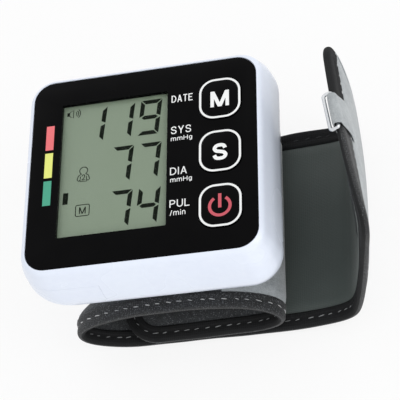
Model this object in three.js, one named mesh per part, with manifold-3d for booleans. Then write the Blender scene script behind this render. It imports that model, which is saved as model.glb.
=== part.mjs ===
// Wrist blood pressure monitor on its curled cuff, as an assembly of separate closed solids.
// Lengths are millimetres. +X runs right across the display, +Y to the top of the display and +Z out of it.
// The origin lies under the middle of the display, on the surface that the cuff rests on.
import * as THREE from 'three';
import { mergeVertices } from 'three/addons/utils/BufferGeometryUtils.js';
import Module from 'manifold-3d';

const wasm = await Module();
wasm.setup();
const { lerp, degToRad } = THREE.MathUtils;

// Gaps and cutting tools
const clearance = 0.3;
const overrun = 2;
const cornerSteps = 6;
const roundSides = 12;
const smoothSides = 20;

// Two round cells, side by side
const cell = { radius: 5.25, length: 43.5, nub: 1.9, nubLength: 1 };
const contactThickness = 0.45;
const contactWidth = 8;
const contactHeight = 6.4;
const trayWall = 1;
const trayCeiling = 0.8;
const trayLip = 4.1;
const trayDepthBelowCells = 1.4;
const cellPitch = 2 * cell.radius + clearance;
const cellEnd = (cell.length + cell.nubLength) / 2;
const trayInnerEnd = cellEnd + contactThickness + 2 * clearance;

// Display panel, seen from the front; its length leaves room for the cells behind it
const panelWidth = 64;
const panelEndMargin = 5.3;
const panelLength = 2 * (trayInnerEnd + trayWall + panelEndMargin);
const panelCorner = 5.75;
const panelThickness = 1.2;
const windowInset = { left: 8.5, right: 24.9, top: 8, bottom: 9 };
const windowWidth = panelWidth - windowInset.left - windowInset.right;
const windowLength = panelLength - windowInset.top - windowInset.bottom;
const windowX = (windowInset.left - windowInset.right) / 2;
const windowY = (windowInset.bottom - windowInset.top) / 2;
const windowThickness = 1;

// Button caps in one column at the right of the window
const buttonWidth = 11.9;
const buttonLength = 13;
const buttonCorner = 4.5;
const buttonInset = 10;
const buttonEndMargin = 6.4;
const buttonX = panelWidth / 2 - buttonInset;
const buttonPitch = (panelLength - buttonLength) / 2 - buttonEndMargin;
const buttonRise = 0.4;
const buttonBevel = 0.35;
const buttonTravel = 0.8;
const flangeWidth = 0.5;
const flangeThickness = 0.6;
const plungerRadius = 3;
const plungerLength = 1.5;
const buttonNames = ['power', 'set', 'memory'];

// Housing: its outline leaves the panel's edge, flares to a widest line and draws in to a flat back
const housingFlare = 3.9;
const backInset = 9;
const housingCorner = { left: 11.5, right: 8.4 };
const wall = 2;
const deckThickness = 1.5;
const backShellHeight = 8.3;
// Each row: share of the depth, of the flare, of the back's inset and of the corner's growth
const housingShares = [
  [0, 0.16, 0, 0.1],
  [0.04, 0.36, 0, 0.25],
  [0.12, 0.56, 0, 0.45],
  [0.235, 0.8, 0, 0.7],
  [0.355, 0.93, 0, 0.9],
  [0.47, 1, 0, 1],
  [0.59, 0.88, 0, 1],
  [0.71, 0.53, 0, 1],
  [0.8, 0, 0.08, 0.95],
  [0.88, 0, 0.28, 0.85],
  [0.95, 0, 0.6, 0.75],
  [1, 0, 1, 0.6],
];

// Battery door: the lower left end of the housing
const doorWidth = 19;
const doorTopDepth = 6.6;
const doorRightX = doorWidth - panelWidth / 2;
const cellInset = 12;
const cellX = cellInset - panelWidth / 2;

// Display module and board stack, behind the panel
const lcdBorder = 1.2;
const lcdThickness = 1.8;
const lcdFrameRim = 0.4;
const lcdFrameHeight = 2.7;
const connectorInset = 1.3;
const connectorWidth = 1.8;
const keypadWidth = 15.4;
const keypadEndMargin = 0.75;
const keypadThickness = 0.9;
const boardInset = { left: 1.5, right: 2, end: 6.6 };
const boardLeftX = boardInset.left - panelWidth / 2;
const boardRightX = panelWidth / 2 - boardInset.right;
const boardLength = panelLength - 2 * boardInset.end;
const boardThickness = 1.2;

// Board screws: one at the near left corner, one at the far end between the window and the keypad
const boardScrew = {
  shank: 0.85, head: 1.7, headHeight: 0.9, length: 4, post: 1.9,
  sideInset: 2.5, endInset: 3, windowGap: 4.7,
};
const boardScrewPlaces = [
  [boardLeftX + boardScrew.sideInset, boardScrew.endInset - boardLength / 2],
  [windowX + windowWidth / 2 + boardScrew.windowGap, boardLength / 2 - boardScrew.endInset],
];

// Case screws run up from the back beside the front and rear walls
const caseScrew = {
  shank: 1, head: 2, headHeight: 1.3, length: 11, post: 2.5, shoulder: 1.4,
  endInset: 3, doorGap: 9, rightInset: 8,
};
const caseScrewX = [doorRightX + caseScrew.doorGap, panelWidth / 2 - caseScrew.rightInset];
const caseScrewY = panelLength / 2 - caseScrew.endInset;

// Pump along the right wall, release valve beside it, and the block that joins them to sensor and air port
const motor = { radius: 7, length: 17, sideInset: 12, endInset: 8.6 };
const motorX = panelWidth / 2 - motor.sideInset;
const motorRearY = motor.endInset - panelLength / 2;
const cradle = { width: 12, length: 1.5, height: 4, inset: 3 };
const crank = {
  shaft: 0.8, seat: 2.5, radius: 3.2, thickness: 1.5, pinOffset: 2, pinLength: 2, startGap: 1.1,
};
const pumpHead = { length: 12.5, cavity: 5, cavityDepth: 8 };
const diaphragmThickness = 1;
const hoseRadius = 2;
const hoseBore = 1.2;
const hoseLead = 3;
const hoseTurn = 7;
const nozzleRadius = 0.9;
const nozzleLength = 1.7;
const manifoldSize = { width: 8, length: 6, height: 4 };
const valve = { width: 8.4, length: 13, height: 9, endInset: 10.6, hoseLength: 6.4 };
const valveRearY = valve.endInset - panelLength / 2;
const valveFrontY = valveRearY + valve.length;
const plungerRod = { radius: 1.5, length: 8, travel: 0.8 };
const port = { radius: 1.8, flange: 4, flangeThickness: 1 };
const airX = motorX - 2 * hoseTurn;
const airY = valveFrontY + valve.hoseLength + 2 * clearance + manifoldSize.length / 2;

// Parts under the board
const sensor = { size: 7, height: 2.9, hoseLength: 3.4 };
const controller = { size: 10, height: 1.6, offset: 4, endInset: 7 };
const buzzer = { radius: 4.5, height: 4, offset: 8, endInset: 6 };
const capacitor = { radius: 2.5, height: 5, sideInset: 3, endInset: 11 };

// Plate between the housing's back and the cuff
const plateHalfWidth = 18;
const plateEndInset = 3.6;
const plateLength = panelLength - 2 * plateEndInset;
const plateCrown = 1.1;
const plateSteps = 8;
const mountScrew = { shank: 0.8, head: 1.5, headHeight: 1.1, offset: 8, endInset: 7 };
const mountScrewX = airX - mountScrew.offset;
const mountScrewY = plateLength / 2 - mountScrew.endInset;

// Cuff band: a spiral of one band that rests on a flat stretch
const cuffWidth = 63.4;
const cuffThickness = 3;
const coverThickness = 0.6;
const stiffenerThickness = 0.4;
const bladderThickness = 0.5;
const bindingWidth = 4.7;
const bindingThickness = 2;
const innerEndCorner = 11;
const innerEndDrift = 1.3;
const innerEndX = -18;
const innerTurnX = 18;
const loopRightX = 29.5;
const loopLeftX = -29.2;
const loopCrownX = 3;
const loopRise = 20.5;
const loopSideHeight = 10.5;
const restLeftX = -12;
const restRightX = 24;
const loopFullness = 0.6;
const layerStart = 14;
const bladderMargin = 6;
// The loop's left side is drawn in beyond the near edge: how far, over which lengths of the band above
// and below its widest place, and between which distances from the near edge
const cinch = { depth: 6.9, above: 22, below: 15, start: 5, end: 12 };
const cinchEdges = [cinch.start, cinch.end].map((inset) => inset - cuffWidth / 2);
const creaseStep = 0.02;

// Tail beyond the resting stretch and the flap that stands up from it, at the near and the far edge
const nearEdge = {
  startHandle: 10, hingeHandle: 6, riseHandle: 5, endHandle: 18,
  hingeX: 49.9, hingeZ: 8, hingeAngle: 56, endX: 61.1, endZ: 58.9, endAngle: 79,
};
const farEdge = {
  startHandle: 14, hingeHandle: 5.5, riseHandle: 9.5, endHandle: 14,
  hingeX: 51.3, hingeZ: 7, hingeAngle: 74, endX: 51.2, endZ: 51.7, endAngle: 101,
};
const flapBulge = 2.2;
const freeEdgeBow = 1.3;
const flapCorner = 7;
const flapSteps = 10;
const flapColumns = 6;
const tailSteps = 7;
const bandFoldGap = 1.5;
const flapFoldGap = 1.2;
const coreFoldGap = 0.6;
const noseSteps = 3;
const hookPatch = { start: 9, length: 16, width: 36, thickness: 0.8 };

// Metal ring and the tab that holds it at the flap's free edge
const ring = { y: 5.6, length: 13.2, spacing: 2.4, wire: 0.5, corner: 0.8, lean: 104, sides: 8 };
const tab = { width: 10.6, thickness: 0.5, reach: 0.9, outerLeg: 7.5, innerLeg: 3.8, step: 1.2, steps: 4 };

// Depths that follow from the stack of pieces
const pocketDepth = panelThickness + clearance;
const deckBottom = pocketDepth + deckThickness;
const lcdBottom = pocketDepth + lcdThickness;
const lcdFrameTop = lcdBottom + clearance;
const boardTop = lcdFrameTop + lcdFrameHeight + clearance;
const boardBottom = boardTop + boardThickness;
const underBoard = boardBottom + clearance;
const airDepth = underBoard + sensor.height + sensor.hoseLength + manifoldSize.height / 2 + 2 * clearance;
const onFloor = airDepth + motor.radius;
const floorDepth = onFloor + clearance;
const housingDepth = floorDepth + wall;
const seamDepth = housingDepth - backShellHeight;
const caseScrewHeadDepth = seamDepth + caseScrew.shoulder;
const trayTop = underBoard + boardScrew.headHeight + clearance;
const cellDepth = trayTop + trayCeiling + clearance + cell.radius;
const motorFrontY = motorRearY + motor.length;
const crankEndY = motorFrontY + crank.startGap + crank.thickness + crank.pinLength;
const diaphragmY = crankEndY + 2 * clearance;
const panelHeight = cuffThickness + loopRise + plateCrown + 2 * clearance + housingDepth;

const assembly = new THREE.Group();
const monitor = new THREE.Group();
monitor.position.z = panelHeight;
const cuff = new THREE.Group();
assembly.add(monitor, cuff);

// Finishes
const finish = (color, roughness, metalness = 0) =>
  new THREE.MeshStandardMaterial({ color, roughness, metalness });
const whiteShell = finish(0xf4f5fa, 0.25);
const blackGloss = finish(0x0b0c0c, 0.08);
const clearWindow = finish(0xdfe6df, 0.05);
const lcdGreen = finish(0x859682, 0.3);
const greyPlastic = finish(0xb9bcc0, 0.5);
const darkPlastic = finish(0x2a2c2e, 0.5);
const boardGreen = finish(0x1f5a35, 0.55);
const darkRubber = finish(0x303234, 0.8);
const clearSilicone = finish(0xd8d4c4, 0.5);
const steel = finish(0xc9ccd0, 0.25, 1);
const cellJacket = finish(0x6f7a86, 0.35, 0.6);
const greyPlush = finish(0xaeb4b8, 0.95);
const darkNylon = finish(0x3a3d3e, 0.85);
const darkTape = finish(0x2b2d2f, 0.9);
const bladderFilm = finish(0x8f9a9c, 0.45);
const feltCore = finish(0x55585a, 1);

/** Adds one named piece to a group. */
function addPiece(group, name, geometry, material) {
  geometry.computeVertexNormals();
  const mesh = new THREE.Mesh(geometry, material);
  mesh.name = name;
  group.add(mesh);
  return mesh;
}

/** Turns every triangle over when the body's faces point inwards. */
function facingOut(geometry) {
  const points = geometry.attributes.position;
  const index = geometry.index;
  const corner = (k) => new THREE.Vector3().fromBufferAttribute(points, index.getX(k));
  let volume = 0;
  for (let k = 0; k < index.count; k += 3) {
    volume += corner(k).dot(corner(k + 1).cross(corner(k + 2)));
  }
  if (volume < 0) {
    for (let k = 0; k < index.count; k += 3) {
      const kept = index.getX(k);
      index.setX(k, index.getX(k + 1));
      index.setX(k + 1, kept);
    }
  }
  return geometry;
}

/**
 * A closed body through rings of points. Flat caps follow capOutline.
 * Without it the last ring meets the first.
 * The two halves of a ring are split along mirrored diagonals, so that nested layers bend alike.
 */
function loft(rings, capOutline) {
  const count = rings[0].length;
  const spans = capOutline ? rings.length - 1 : rings.length;
  const indices = [];
  for (let i = 0; i < spans; i += 1) {
    const here = i * count;
    const next = ((i + 1) % rings.length) * count;
    for (let j = 0; j < count; j += 1) {
      const k = (j + 1) % count;
      const split = j < count / 2
        ? [here + j, here + k, next + k, here + j, next + k, next + j]
        : [here + j, here + k, next + j, here + k, next + k, next + j];
      indices.push(...split);
    }
  }
  if (capOutline) {
    const last = (rings.length - 1) * count;
    const clockwise = THREE.ShapeUtils.isClockWise(capOutline);
    for (const [a, p, q] of THREE.ShapeUtils.triangulateShape(capOutline, [])) {
      const [b, c] = clockwise ? [q, p] : [p, q];
      indices.push(a, c, b, last + a, last + b, last + c);
    }
  }
  const geometry = new THREE.BufferGeometry();
  const positions = rings.flat().flatMap((point) => point.toArray());
  geometry.setAttribute('position', new THREE.Float32BufferAttribute(positions, 3));
  geometry.setIndex(indices);
  return facingOut(geometry);
}

/** A geometry as a solid for joining and cutting. */
function solid(geometry) {
  const bare = geometry.clone();
  bare.deleteAttribute('normal');
  bare.deleteAttribute('uv');
  const merged = mergeVertices(bare);
  return new wasm.Manifold(new wasm.Mesh({
    numProp: 3,
    vertProperties: new Float32Array(merged.attributes.position.array),
    triVerts: new Uint32Array(merged.index.array),
  }));
}

/** The geometry of a solid. */
function geometryOf(body) {
  const mesh = body.getMesh();
  const geometry = new THREE.BufferGeometry();
  geometry.setAttribute('position', new THREE.BufferAttribute(new Float32Array(mesh.vertProperties), 3));
  geometry.setIndex(new THREE.BufferAttribute(new Uint32Array(mesh.triVerts), 1));
  return geometry;
}

const cut = (body, tools) => geometryOf(
  tools.reduce((rest, tool) => rest.subtract(solid(tool)), solid(body)));
const join = ([first, ...others]) => geometryOf(
  others.reduce((sum, body) => sum.add(solid(body)), solid(first)));

/** A box between two bounds along each axis. */
function box([x0, x1], [y0, y1], [z0, z1]) {
  const geometry = new THREE.BoxGeometry(x1 - x0, y1 - y0, z1 - z0);
  return geometry.translate((x0 + x1) / 2, (y0 + y1) / 2, (z0 + z1) / 2);
}

/** The span of a size around a middle. */
const around = (middle, size) => [middle - size / 2, middle + size / 2];

/** An upright cylinder between two heights. */
function post(radius, [z0, z1], x, y, sides = roundSides) {
  const geometry = new THREE.CylinderGeometry(radius, radius, z1 - z0, sides);
  return geometry.rotateX(Math.PI / 2).translate(x, y, (z0 + z1) / 2);
}

/** A cylinder lying along Y. */
function drum(radius, [y0, y1], x, z, sides = roundSides) {
  const geometry = new THREE.CylinderGeometry(radius, radius, y1 - y0, sides);
  return geometry.translate(x, (y0 + y1) / 2, z);
}

/** The points of a rectangle with round corners, anticlockwise; the right corners may be tighter. */
function roundedRectangle(halfX, halfY, radius, x = 0, y = 0, rightRadius = radius) {
  const points = [];
  const corners = [[1, 1], [-1, 1], [-1, -1], [1, -1]];
  corners.forEach(([signX, signY], quarter) => {
    const round = signX > 0 ? rightRadius : radius;
    for (let i = 0; i <= cornerSteps; i += 1) {
      const angle = (quarter + i / cornerSteps) * Math.PI / 2;
      points.push(new THREE.Vector2(
        x + signX * (halfX - round) + round * Math.cos(angle),
        y + signY * (halfY - round) + round * Math.sin(angle),
      ));
    }
  });
  return points;
}

const raised = (outline, z) => outline.map((point) => new THREE.Vector3(point.x, point.y, z));

/** A plate with the given outline between two heights. */
const plate = (outline, [z0, z1]) => loft([raised(outline, z0), raised(outline, z1)], outline);

/** The housing's outline at a depth below the panel's face, drawn in by a wall. */
function housingOutline(depth, drawnIn) {
  const share = depth / housingDepth;
  const last = housingShares.length - 1;
  const upper = housingShares.findIndex((row, k) => k > 0 && (row[0] >= share || k === last));
  const [low, high] = [housingShares[upper - 1], housingShares[upper]];
  const along = (share - low[0]) / (high[0] - low[0]);
  const [, flare, inset, corner] = low.map((value, k) => lerp(value, high[k], along));
  const grown = flare * housingFlare - inset * backInset - drawnIn;
  const [left, right] = [housingCorner.left, housingCorner.right].map((wide) =>
    lerp(panelCorner, wide, corner) - drawnIn);
  return roundedRectangle(panelWidth / 2 + grown, panelLength / 2 + grown, left, 0, 0, right);
}

/** The housing's body between two depths, drawn in by a wall. */
function housingBody(fromDepth, toDepth, drawnIn = 0) {
  const between = housingShares.map(([share]) => share * housingDepth)
    .filter((depth) => depth > fromDepth && depth < toDepth);
  const rings = [fromDepth, ...between, toDepth].map((depth) =>
    raised(housingOutline(depth, drawnIn), -depth));
  return loft(rings, housingOutline(fromDepth, drawnIn));
}

/** The corner of space that the battery door fills, grown by a gap on its seams. */
function doorSpace(gap) {
  const reach = panelWidth + overrun;
  return box([-reach, doorRightX + gap], [-reach, reach], [-housingDepth - overrun, -doorTopDepth + gap]);
}

const buttonY = (k) => (k - 1) * buttonPitch;
const buttonOutline = (k, grown) => roundedRectangle(
  buttonWidth / 2 + grown, buttonLength / 2 + grown, buttonCorner + grown, buttonX, buttonY(k));
const buttonHoles = ([z0, z1]) => buttonNames.map((name, k) => plate(buttonOutline(k, clearance), [z0, z1]));
const windowOutline = (grown) => roundedRectangle(
  windowWidth / 2 + grown, windowLength / 2 + grown, clearance + Math.max(grown, 0), windowX, windowY);
const caseScrewPlaces = caseScrewX.flatMap((x) => [[x, -caseScrewY], [x, caseScrewY]]);
const mountScrewPlaces = [[mountScrewX, -mountScrewY], [mountScrewX, mountScrewY]];

/** Front shell: walls, panel pocket, deck, and the posts that take the screws. */
function frontShell() {
  const cavity = housingBody(deckBottom, seamDepth + overrun, wall);
  const shell = cut(housingBody(0, seamDepth - clearance / 2), [cavity]);
  const casePosts = caseScrewPlaces.map(([x, y]) =>
    post(caseScrew.post, [-seamDepth + clearance / 2, -deckBottom + deckThickness / 2], x, y));
  const boardPosts = boardScrewPlaces.map(([x, y]) =>
    post(boardScrew.post, [-boardTop + clearance, -deckBottom + deckThickness / 2], x, y));
  const pocket = roundedRectangle(
    panelWidth / 2 + clearance, panelLength / 2 + clearance, panelCorner + clearance);
  const through = [-deckBottom - overrun, overrun];
  return cut(join([shell, ...casePosts, ...boardPosts]), [
    plate(pocket, [-pocketDepth, overrun]),
    plate(windowOutline(lcdBorder + clearance), through),
    ...buttonHoles(through),
    doorSpace(clearance / 2),
    ...caseScrewPlaces.map(([x, y]) => post(caseScrew.shank + clearance,
      [-seamDepth - overrun, -caseScrewHeadDepth + caseScrew.length + clearance], x, y)),
    ...boardScrewPlaces.map(([x, y]) => post(boardScrew.shank + clearance,
      [-boardTop - overrun, -underBoard + boardScrew.length + clearance], x, y)),
  ]);
}

/** Back shell: floor and lower walls, screw bosses, pump cradle and holes for screws and air port. */
function backShell() {
  const cavity = housingBody(seamDepth - overrun, floorDepth, wall);
  const shell = cut(housingBody(seamDepth + clearance / 2, housingDepth), [cavity]);
  const bosses = caseScrewPlaces.map(([x, y]) =>
    post(caseScrew.post, [-caseScrewHeadDepth - wall, -seamDepth - clearance / 2], x, y));
  const ribs = [motorRearY + cradle.inset, motorFrontY - cradle.inset].map((y) =>
    box(around(motorX, cradle.width), around(y, cradle.length),
      [-floorDepth - wall / 2, -floorDepth + cradle.height]));
  const outside = [-housingDepth - overrun, -floorDepth + overrun];
  const inside = solid(housingBody(seamDepth + clearance / 2, housingDepth));
  const filled = solid(join([shell, ...bosses, ...ribs])).intersect(inside);
  return cut(geometryOf(filled), [
    doorSpace(clearance / 2),
    drum(motor.radius + clearance, [motorRearY - overrun, motorFrontY], motorX, -airDepth,
      smoothSides),
    post(port.radius + clearance, outside, airX, airY),
    ...mountScrewPlaces.map(([x, y]) => post(mountScrew.shank + clearance, outside, x, y)),
    ...caseScrewPlaces.map(([x, y]) => post(caseScrew.shank + clearance,
      [-housingDepth, -seamDepth + overrun], x, y)),
    ...caseScrewPlaces.map(([x, y]) => post(caseScrew.head + clearance,
      [-housingDepth - overrun, -caseScrewHeadDepth], x, y)),
  ]);
}

/** Battery door: the walls and floor of the housing's lower left end. */
function batteryDoor() {
  const cavity = housingBody(doorTopDepth - overrun, floorDepth, wall);
  const reach = panelWidth + overrun;
  return cut(housingBody(doorTopDepth + clearance / 2, housingDepth), [
    cavity,
    box([doorRightX - clearance / 2, reach], [-reach, reach], [-housingDepth - overrun, 0]),
  ]);
}

/** Display panel with its window opening and three button openings. */
function frontPanel() {
  const outline = roundedRectangle(panelWidth / 2, panelLength / 2, panelCorner);
  const through = [-panelThickness - overrun, overrun];
  const window = plate(windowOutline(0), through);
  return cut(plate(outline, [-panelThickness, 0]), [window, ...buttonHoles(through)]);
}

/** One button cap: bevelled top, straight body and the flange that keeps it in the deck. */
function buttonCap(k) {
  const flangeTop = deckBottom + clearance;
  const levels = [
    [buttonRise, -buttonBevel],
    [buttonRise - buttonBevel, 0],
    [-flangeTop, 0],
    [-flangeTop, flangeWidth],
    [-flangeTop - flangeThickness, flangeWidth],
  ];
  return loft(levels.map(([z, grown]) => raised(buttonOutline(k, grown), z)), buttonOutline(k, 0));
}

/** The rubber plunger under one cap. */
function buttonPlunger(k) {
  const top = deckBottom + flangeThickness + 2 * clearance;
  return post(plungerRadius, [-top - plungerLength, -top], buttonX, buttonY(k));
}

/** Rubber keypad: one mat with a hole round each plunger. */
function rubberKeypad() {
  const mat = box(around(buttonX, keypadWidth), around(0, boardLength - 2 * keypadEndMargin),
    [-boardTop + clearance, -boardTop + clearance + keypadThickness]);
  const holes = buttonNames.map((name, k) =>
    post(plungerRadius + clearance, [-boardTop, -deckBottom], buttonX, buttonY(k)));
  return cut(mat, holes);
}

/** LCD glass, held under the panel by its border. */
const lcdGlass = () => plate(windowOutline(lcdBorder), [-lcdBottom, -pocketDepth]);

/** Frame between the LCD glass and the board. */
function lcdFrame() {
  const span = [-lcdFrameTop - lcdFrameHeight, -lcdFrameTop];
  return cut(plate(windowOutline(lcdBorder + lcdFrameRim), span), [
    plate(windowOutline(0), [span[0] - overrun, span[1] + overrun]),
  ]);
}

/** Elastomer strip between the LCD glass and the board, inside the frame's lower side. */
function elastomerConnector() {
  const y0 = windowY - windowLength / 2 + clearance;
  return box(around(windowX, windowWidth - 2 * connectorInset), [y0, y0 + connectorWidth],
    [-lcdFrameTop - lcdFrameHeight, -lcdFrameTop]);
}

/** Main board with its screw holes. */
function mainBoard() {
  const slab = box([boardLeftX, boardRightX], around(0, boardLength), [-boardBottom, -boardTop]);
  return cut(slab, boardScrewPlaces.map(([x, y]) =>
    post(boardScrew.shank + clearance, [-boardBottom - overrun, -boardTop + overrun], x, y)));
}

/** A screw standing on its head, pointing up. */
function screw(sizes, [x, y], headTop, length) {
  return join([
    post(sizes.head, [headTop - sizes.headHeight, headTop], x, y),
    post(sizes.shank, [headTop - sizes.headHeight / 2, headTop + length], x, y),
  ]);
}

/** A screw that hangs from the housing's floor into the cuff's plate. */
function mountingScrew([x, y]) {
  const headTop = -onFloor + mountScrew.headHeight;
  return join([
    post(mountScrew.head, [-onFloor, headTop], x, y),
    post(mountScrew.shank,
      [-housingDepth - clearance - plateCrown, headTop - mountScrew.headHeight / 2], x, y),
  ]);
}

/** Pressure sensor with its nozzle pointing down. */
function pressureSensor() {
  const bottom = -underBoard - sensor.height;
  return join([
    box(around(airX, sensor.size), around(airY, sensor.size), [bottom, -underBoard]),
    post(nozzleRadius, [bottom - nozzleLength, bottom + overrun / 2], airX, airY),
  ]);
}

/** Block that joins the pump, the valve, the sensor and the air port. */
function airManifold() {
  const { width, length, height } = manifoldSize;
  const [y0, y1] = around(airY, length);
  const [z0, z1] = around(-airDepth, height);
  return join([
    box(around(airX, width), [y0, y1], [z0, z1]),
    post(nozzleRadius, [z0 - nozzleLength, z1 + nozzleLength], airX, airY),
    drum(nozzleRadius, [y0 - nozzleLength, y1 + nozzleLength], airX, -airDepth),
  ]);
}

/** Motor can, with a bore for the crank's shaft. */
function pumpMotor() {
  return cut(drum(motor.radius, [motorRearY, motorFrontY], motorX, -airDepth, smoothSides), [
    drum(crank.shaft + clearance,
      [motorFrontY - crank.seat - clearance, motorFrontY + overrun], motorX, -airDepth),
  ]);
}

/** Crank on the motor's shaft: shaft, disc and offset pin. */
function pumpCrank() {
  const discY = motorFrontY + crank.startGap;
  const pinY = discY + crank.thickness;
  return join([
    drum(crank.shaft, [motorFrontY - crank.seat, discY + crank.thickness / 2], motorX, -airDepth),
    drum(crank.radius, [discY, pinY], motorX, -airDepth),
    drum(crank.shaft, [pinY - crank.thickness / 2, pinY + crank.pinLength], motorX,
      -airDepth - crank.pinOffset),
  ]);
}

/** Pump head: a round housing over the crank, with its nozzle at the far end. */
function pumpHeadBody() {
  const rear = motorFrontY + clearance;
  const front = rear + pumpHead.length;
  return cut(join([
    drum(motor.radius, [rear, front], motorX, -airDepth, smoothSides),
    drum(nozzleRadius, [front - overrun, front + nozzleLength], motorX, -airDepth),
  ]), [drum(pumpHead.cavity, [rear - overrun, rear + pumpHead.cavityDepth], motorX, -airDepth, smoothSides)]);
}

/** Release valve: body with a nozzle and a bore for its plunger. */
function releaseValve() {
  const front = valveFrontY;
  return cut(join([
    box(around(airX, valve.width), [valveRearY, front], [-onFloor, -onFloor + valve.height]),
    drum(nozzleRadius, [front - overrun, front + nozzleLength], airX, -airDepth),
  ]), [valveBore()]);
}

const valveBore = () => drum(plungerRod.radius + clearance,
  [valveRearY - overrun, valveRearY + 2 * clearance + plungerRod.length + plungerRod.travel],
  airX, -onFloor + valve.height / 2);
const valvePlunger = () => drum(plungerRod.radius,
  [valveRearY + clearance, valveRearY + clearance + plungerRod.length],
  airX, -onFloor + valve.height / 2);

/** Hose from the pump head round to the manifold: out, half a turn, and back. */
function pumpHose() {
  const pumpFace = motorFrontY + clearance + pumpHead.length;
  const manifoldFace = airY + manifoldSize.length / 2;
  const turnY = pumpFace + hoseLead;
  const middleX = motorX - hoseTurn;
  const points = [new THREE.Vector3(motorX, pumpFace + clearance, -airDepth)];
  for (let k = 0; k <= cornerSteps; k += 1) {
    const angle = k / cornerSteps * Math.PI;
    points.push(new THREE.Vector3(
      middleX + hoseTurn * Math.cos(angle), turnY + hoseTurn * Math.sin(angle), -airDepth));
  }
  points.push(new THREE.Vector3(airX, manifoldFace + clearance, -airDepth));
  const section = new THREE.Shape(ringPoints(hoseRadius));
  section.holes.push(new THREE.Path(ringPoints(hoseBore)));
  return new THREE.ExtrudeGeometry(section, {
    steps: smoothSides, extrudePath: new THREE.CatmullRomCurve3(points), bevelEnabled: false,
  });
}

/** Points round a circle. */
const ringPoints = (radius, sides = ring.sides) => Array.from({ length: sides }, (unused, k) =>
  new THREE.Vector2(radius * Math.cos(2 * Math.PI * k / sides), radius * Math.sin(2 * Math.PI * k / sides)));

/** Upright hose over the sensor's or the air port's nozzle. */
function uprightHose(z0, z1) {
  return cut(post(hoseRadius, [z0, z1], airX, airY),
    [post(hoseBore, [z0 - overrun, z1 + overrun], airX, airY)]);
}

/** Hose between the valve and the manifold. */
function valveHose() {
  const y0 = valveFrontY + clearance;
  const y1 = airY - manifoldSize.length / 2 - clearance;
  return cut(drum(hoseRadius, [y0, y1], airX, -airDepth),
    [drum(hoseBore, [y0 - overrun, y1 + overrun], airX, -airDepth)]);
}

/** Two straight sides and a ceiling that hold the cells, open to the left and below. */
function batteryTray() {
  const innerRight = cellX + cellPitch / 2 + cell.radius + clearance;
  const left = cellX - cellPitch / 2 - trayLip;
  const outerEnd = trayInnerEnd + trayWall;
  const bottom = -cellDepth - trayDepthBelowCells;
  const endWalls = [-1, 1].map((side) => box([left, innerRight + trayWall],
    [side * trayInnerEnd, side * outerEnd].sort((a, b) => a - b), [bottom, -underBoard]));
  return join([
    box([left, innerRight + trayWall], [-outerEnd, outerEnd],
      [-trayTop - trayCeiling, -trayTop]),
    box([innerRight, innerRight + trayWall], [-outerEnd, outerEnd],
      [-cellDepth - cell.radius, -trayTop]),
    ...endWalls,
  ]);
}

/** One cell, with its nub towards +Y or -Y. */
function batteryCell(x, side) {
  const shoulder = cellEnd - cell.nubLength;
  const ordered = (a, b) => [side * a, side * b].sort((p, q) => p - q);
  return join([
    drum(cell.radius, ordered(-cellEnd, shoulder), x, -cellDepth, smoothSides),
    drum(cell.nub, ordered(shoulder - overrun, cellEnd), x, -cellDepth),
  ]);
}

/** A contact plate at one end of the cells, beside one of them or bridging both. */
function batteryContact(side, x, extra) {
  const near = cellEnd + clearance;
  const span = [side * near, side * (near + contactThickness)].sort((a, b) => a - b);
  return box(around(x, contactWidth + extra), span, around(-cellDepth, contactHeight));
}

/** The loop of the band as seen along Y: a list of flat curves from the inner end to the resting stretch. */
function bandSegments() {
  const low = cuffThickness / 2;
  const innerLow = low + cuffThickness + clearance;
  const crown = low + loopRise;
  const at = (x, z) => new THREE.Vector2(x, z);
  const quarter = (from, to, levelFirst) => {
    const reachX = loopFullness * (to.x - from.x);
    const reachZ = loopFullness * (to.y - from.y);
    const first = levelFirst ? at(from.x + reachX, from.y) : at(from.x, from.y + reachZ);
    const second = levelFirst ? at(to.x, to.y - reachZ) : at(to.x - reachX, to.y);
    return new THREE.CubicBezierCurve(from, first, second, to);
  };
  const right = at(loopRightX, loopSideHeight);
  const left = at(loopLeftX, loopSideHeight);
  return [
    { curve: new THREE.LineCurve(at(innerEndX, innerLow), at(innerTurnX, innerLow)), steps: 1 },
    { curve: quarter(at(innerTurnX, innerLow), right, true), steps: 7 },
    { curve: quarter(right, at(loopCrownX, crown), false), steps: 9 },
    { curve: quarter(at(loopCrownX, crown), left, true), steps: 10 },
    { curve: quarter(left, at(restLeftX, low), false), steps: 8 },
    { curve: new THREE.LineCurve(at(restLeftX, low), at(restRightX, low)), steps: 1 },
  ];
}

const segments = bandSegments();
const segmentLengths = segments.map(({ curve }) => curve.getLength());
const segmentStart = (k) => segmentLengths.slice(0, k).reduce((sum, length) => sum + length, 0);
const loopLength = segmentStart(segments.length);
const crownPlace = segmentStart(3);

/** A value between the near edge's and the far edge's at a place across the band. */
const across = (key, y) => lerp(nearEdge[key], farEdge[key], y / cuffWidth + 1 / 2);
const heading = (degrees) => new THREE.Vector2(Math.cos(degToRad(degrees)), Math.sin(degToRad(degrees)));
const hingePoint = (y) => new THREE.Vector2(across('hingeX', y), across('hingeZ', y));

/** The curve of the tail at a place across the band, from the resting stretch up to the fold. */
function tailCurve(y) {
  const start = new THREE.Vector2(restRightX, cuffThickness / 2);
  const hinge = hingePoint(y);
  const rise = heading(across('hingeAngle', y));
  return new THREE.CubicBezierCurve(start, start.clone().setX(restRightX + across('startHandle', y)),
    hinge.clone().addScaledVector(rise, -across('hingeHandle', y)), hinge);
}

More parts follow.
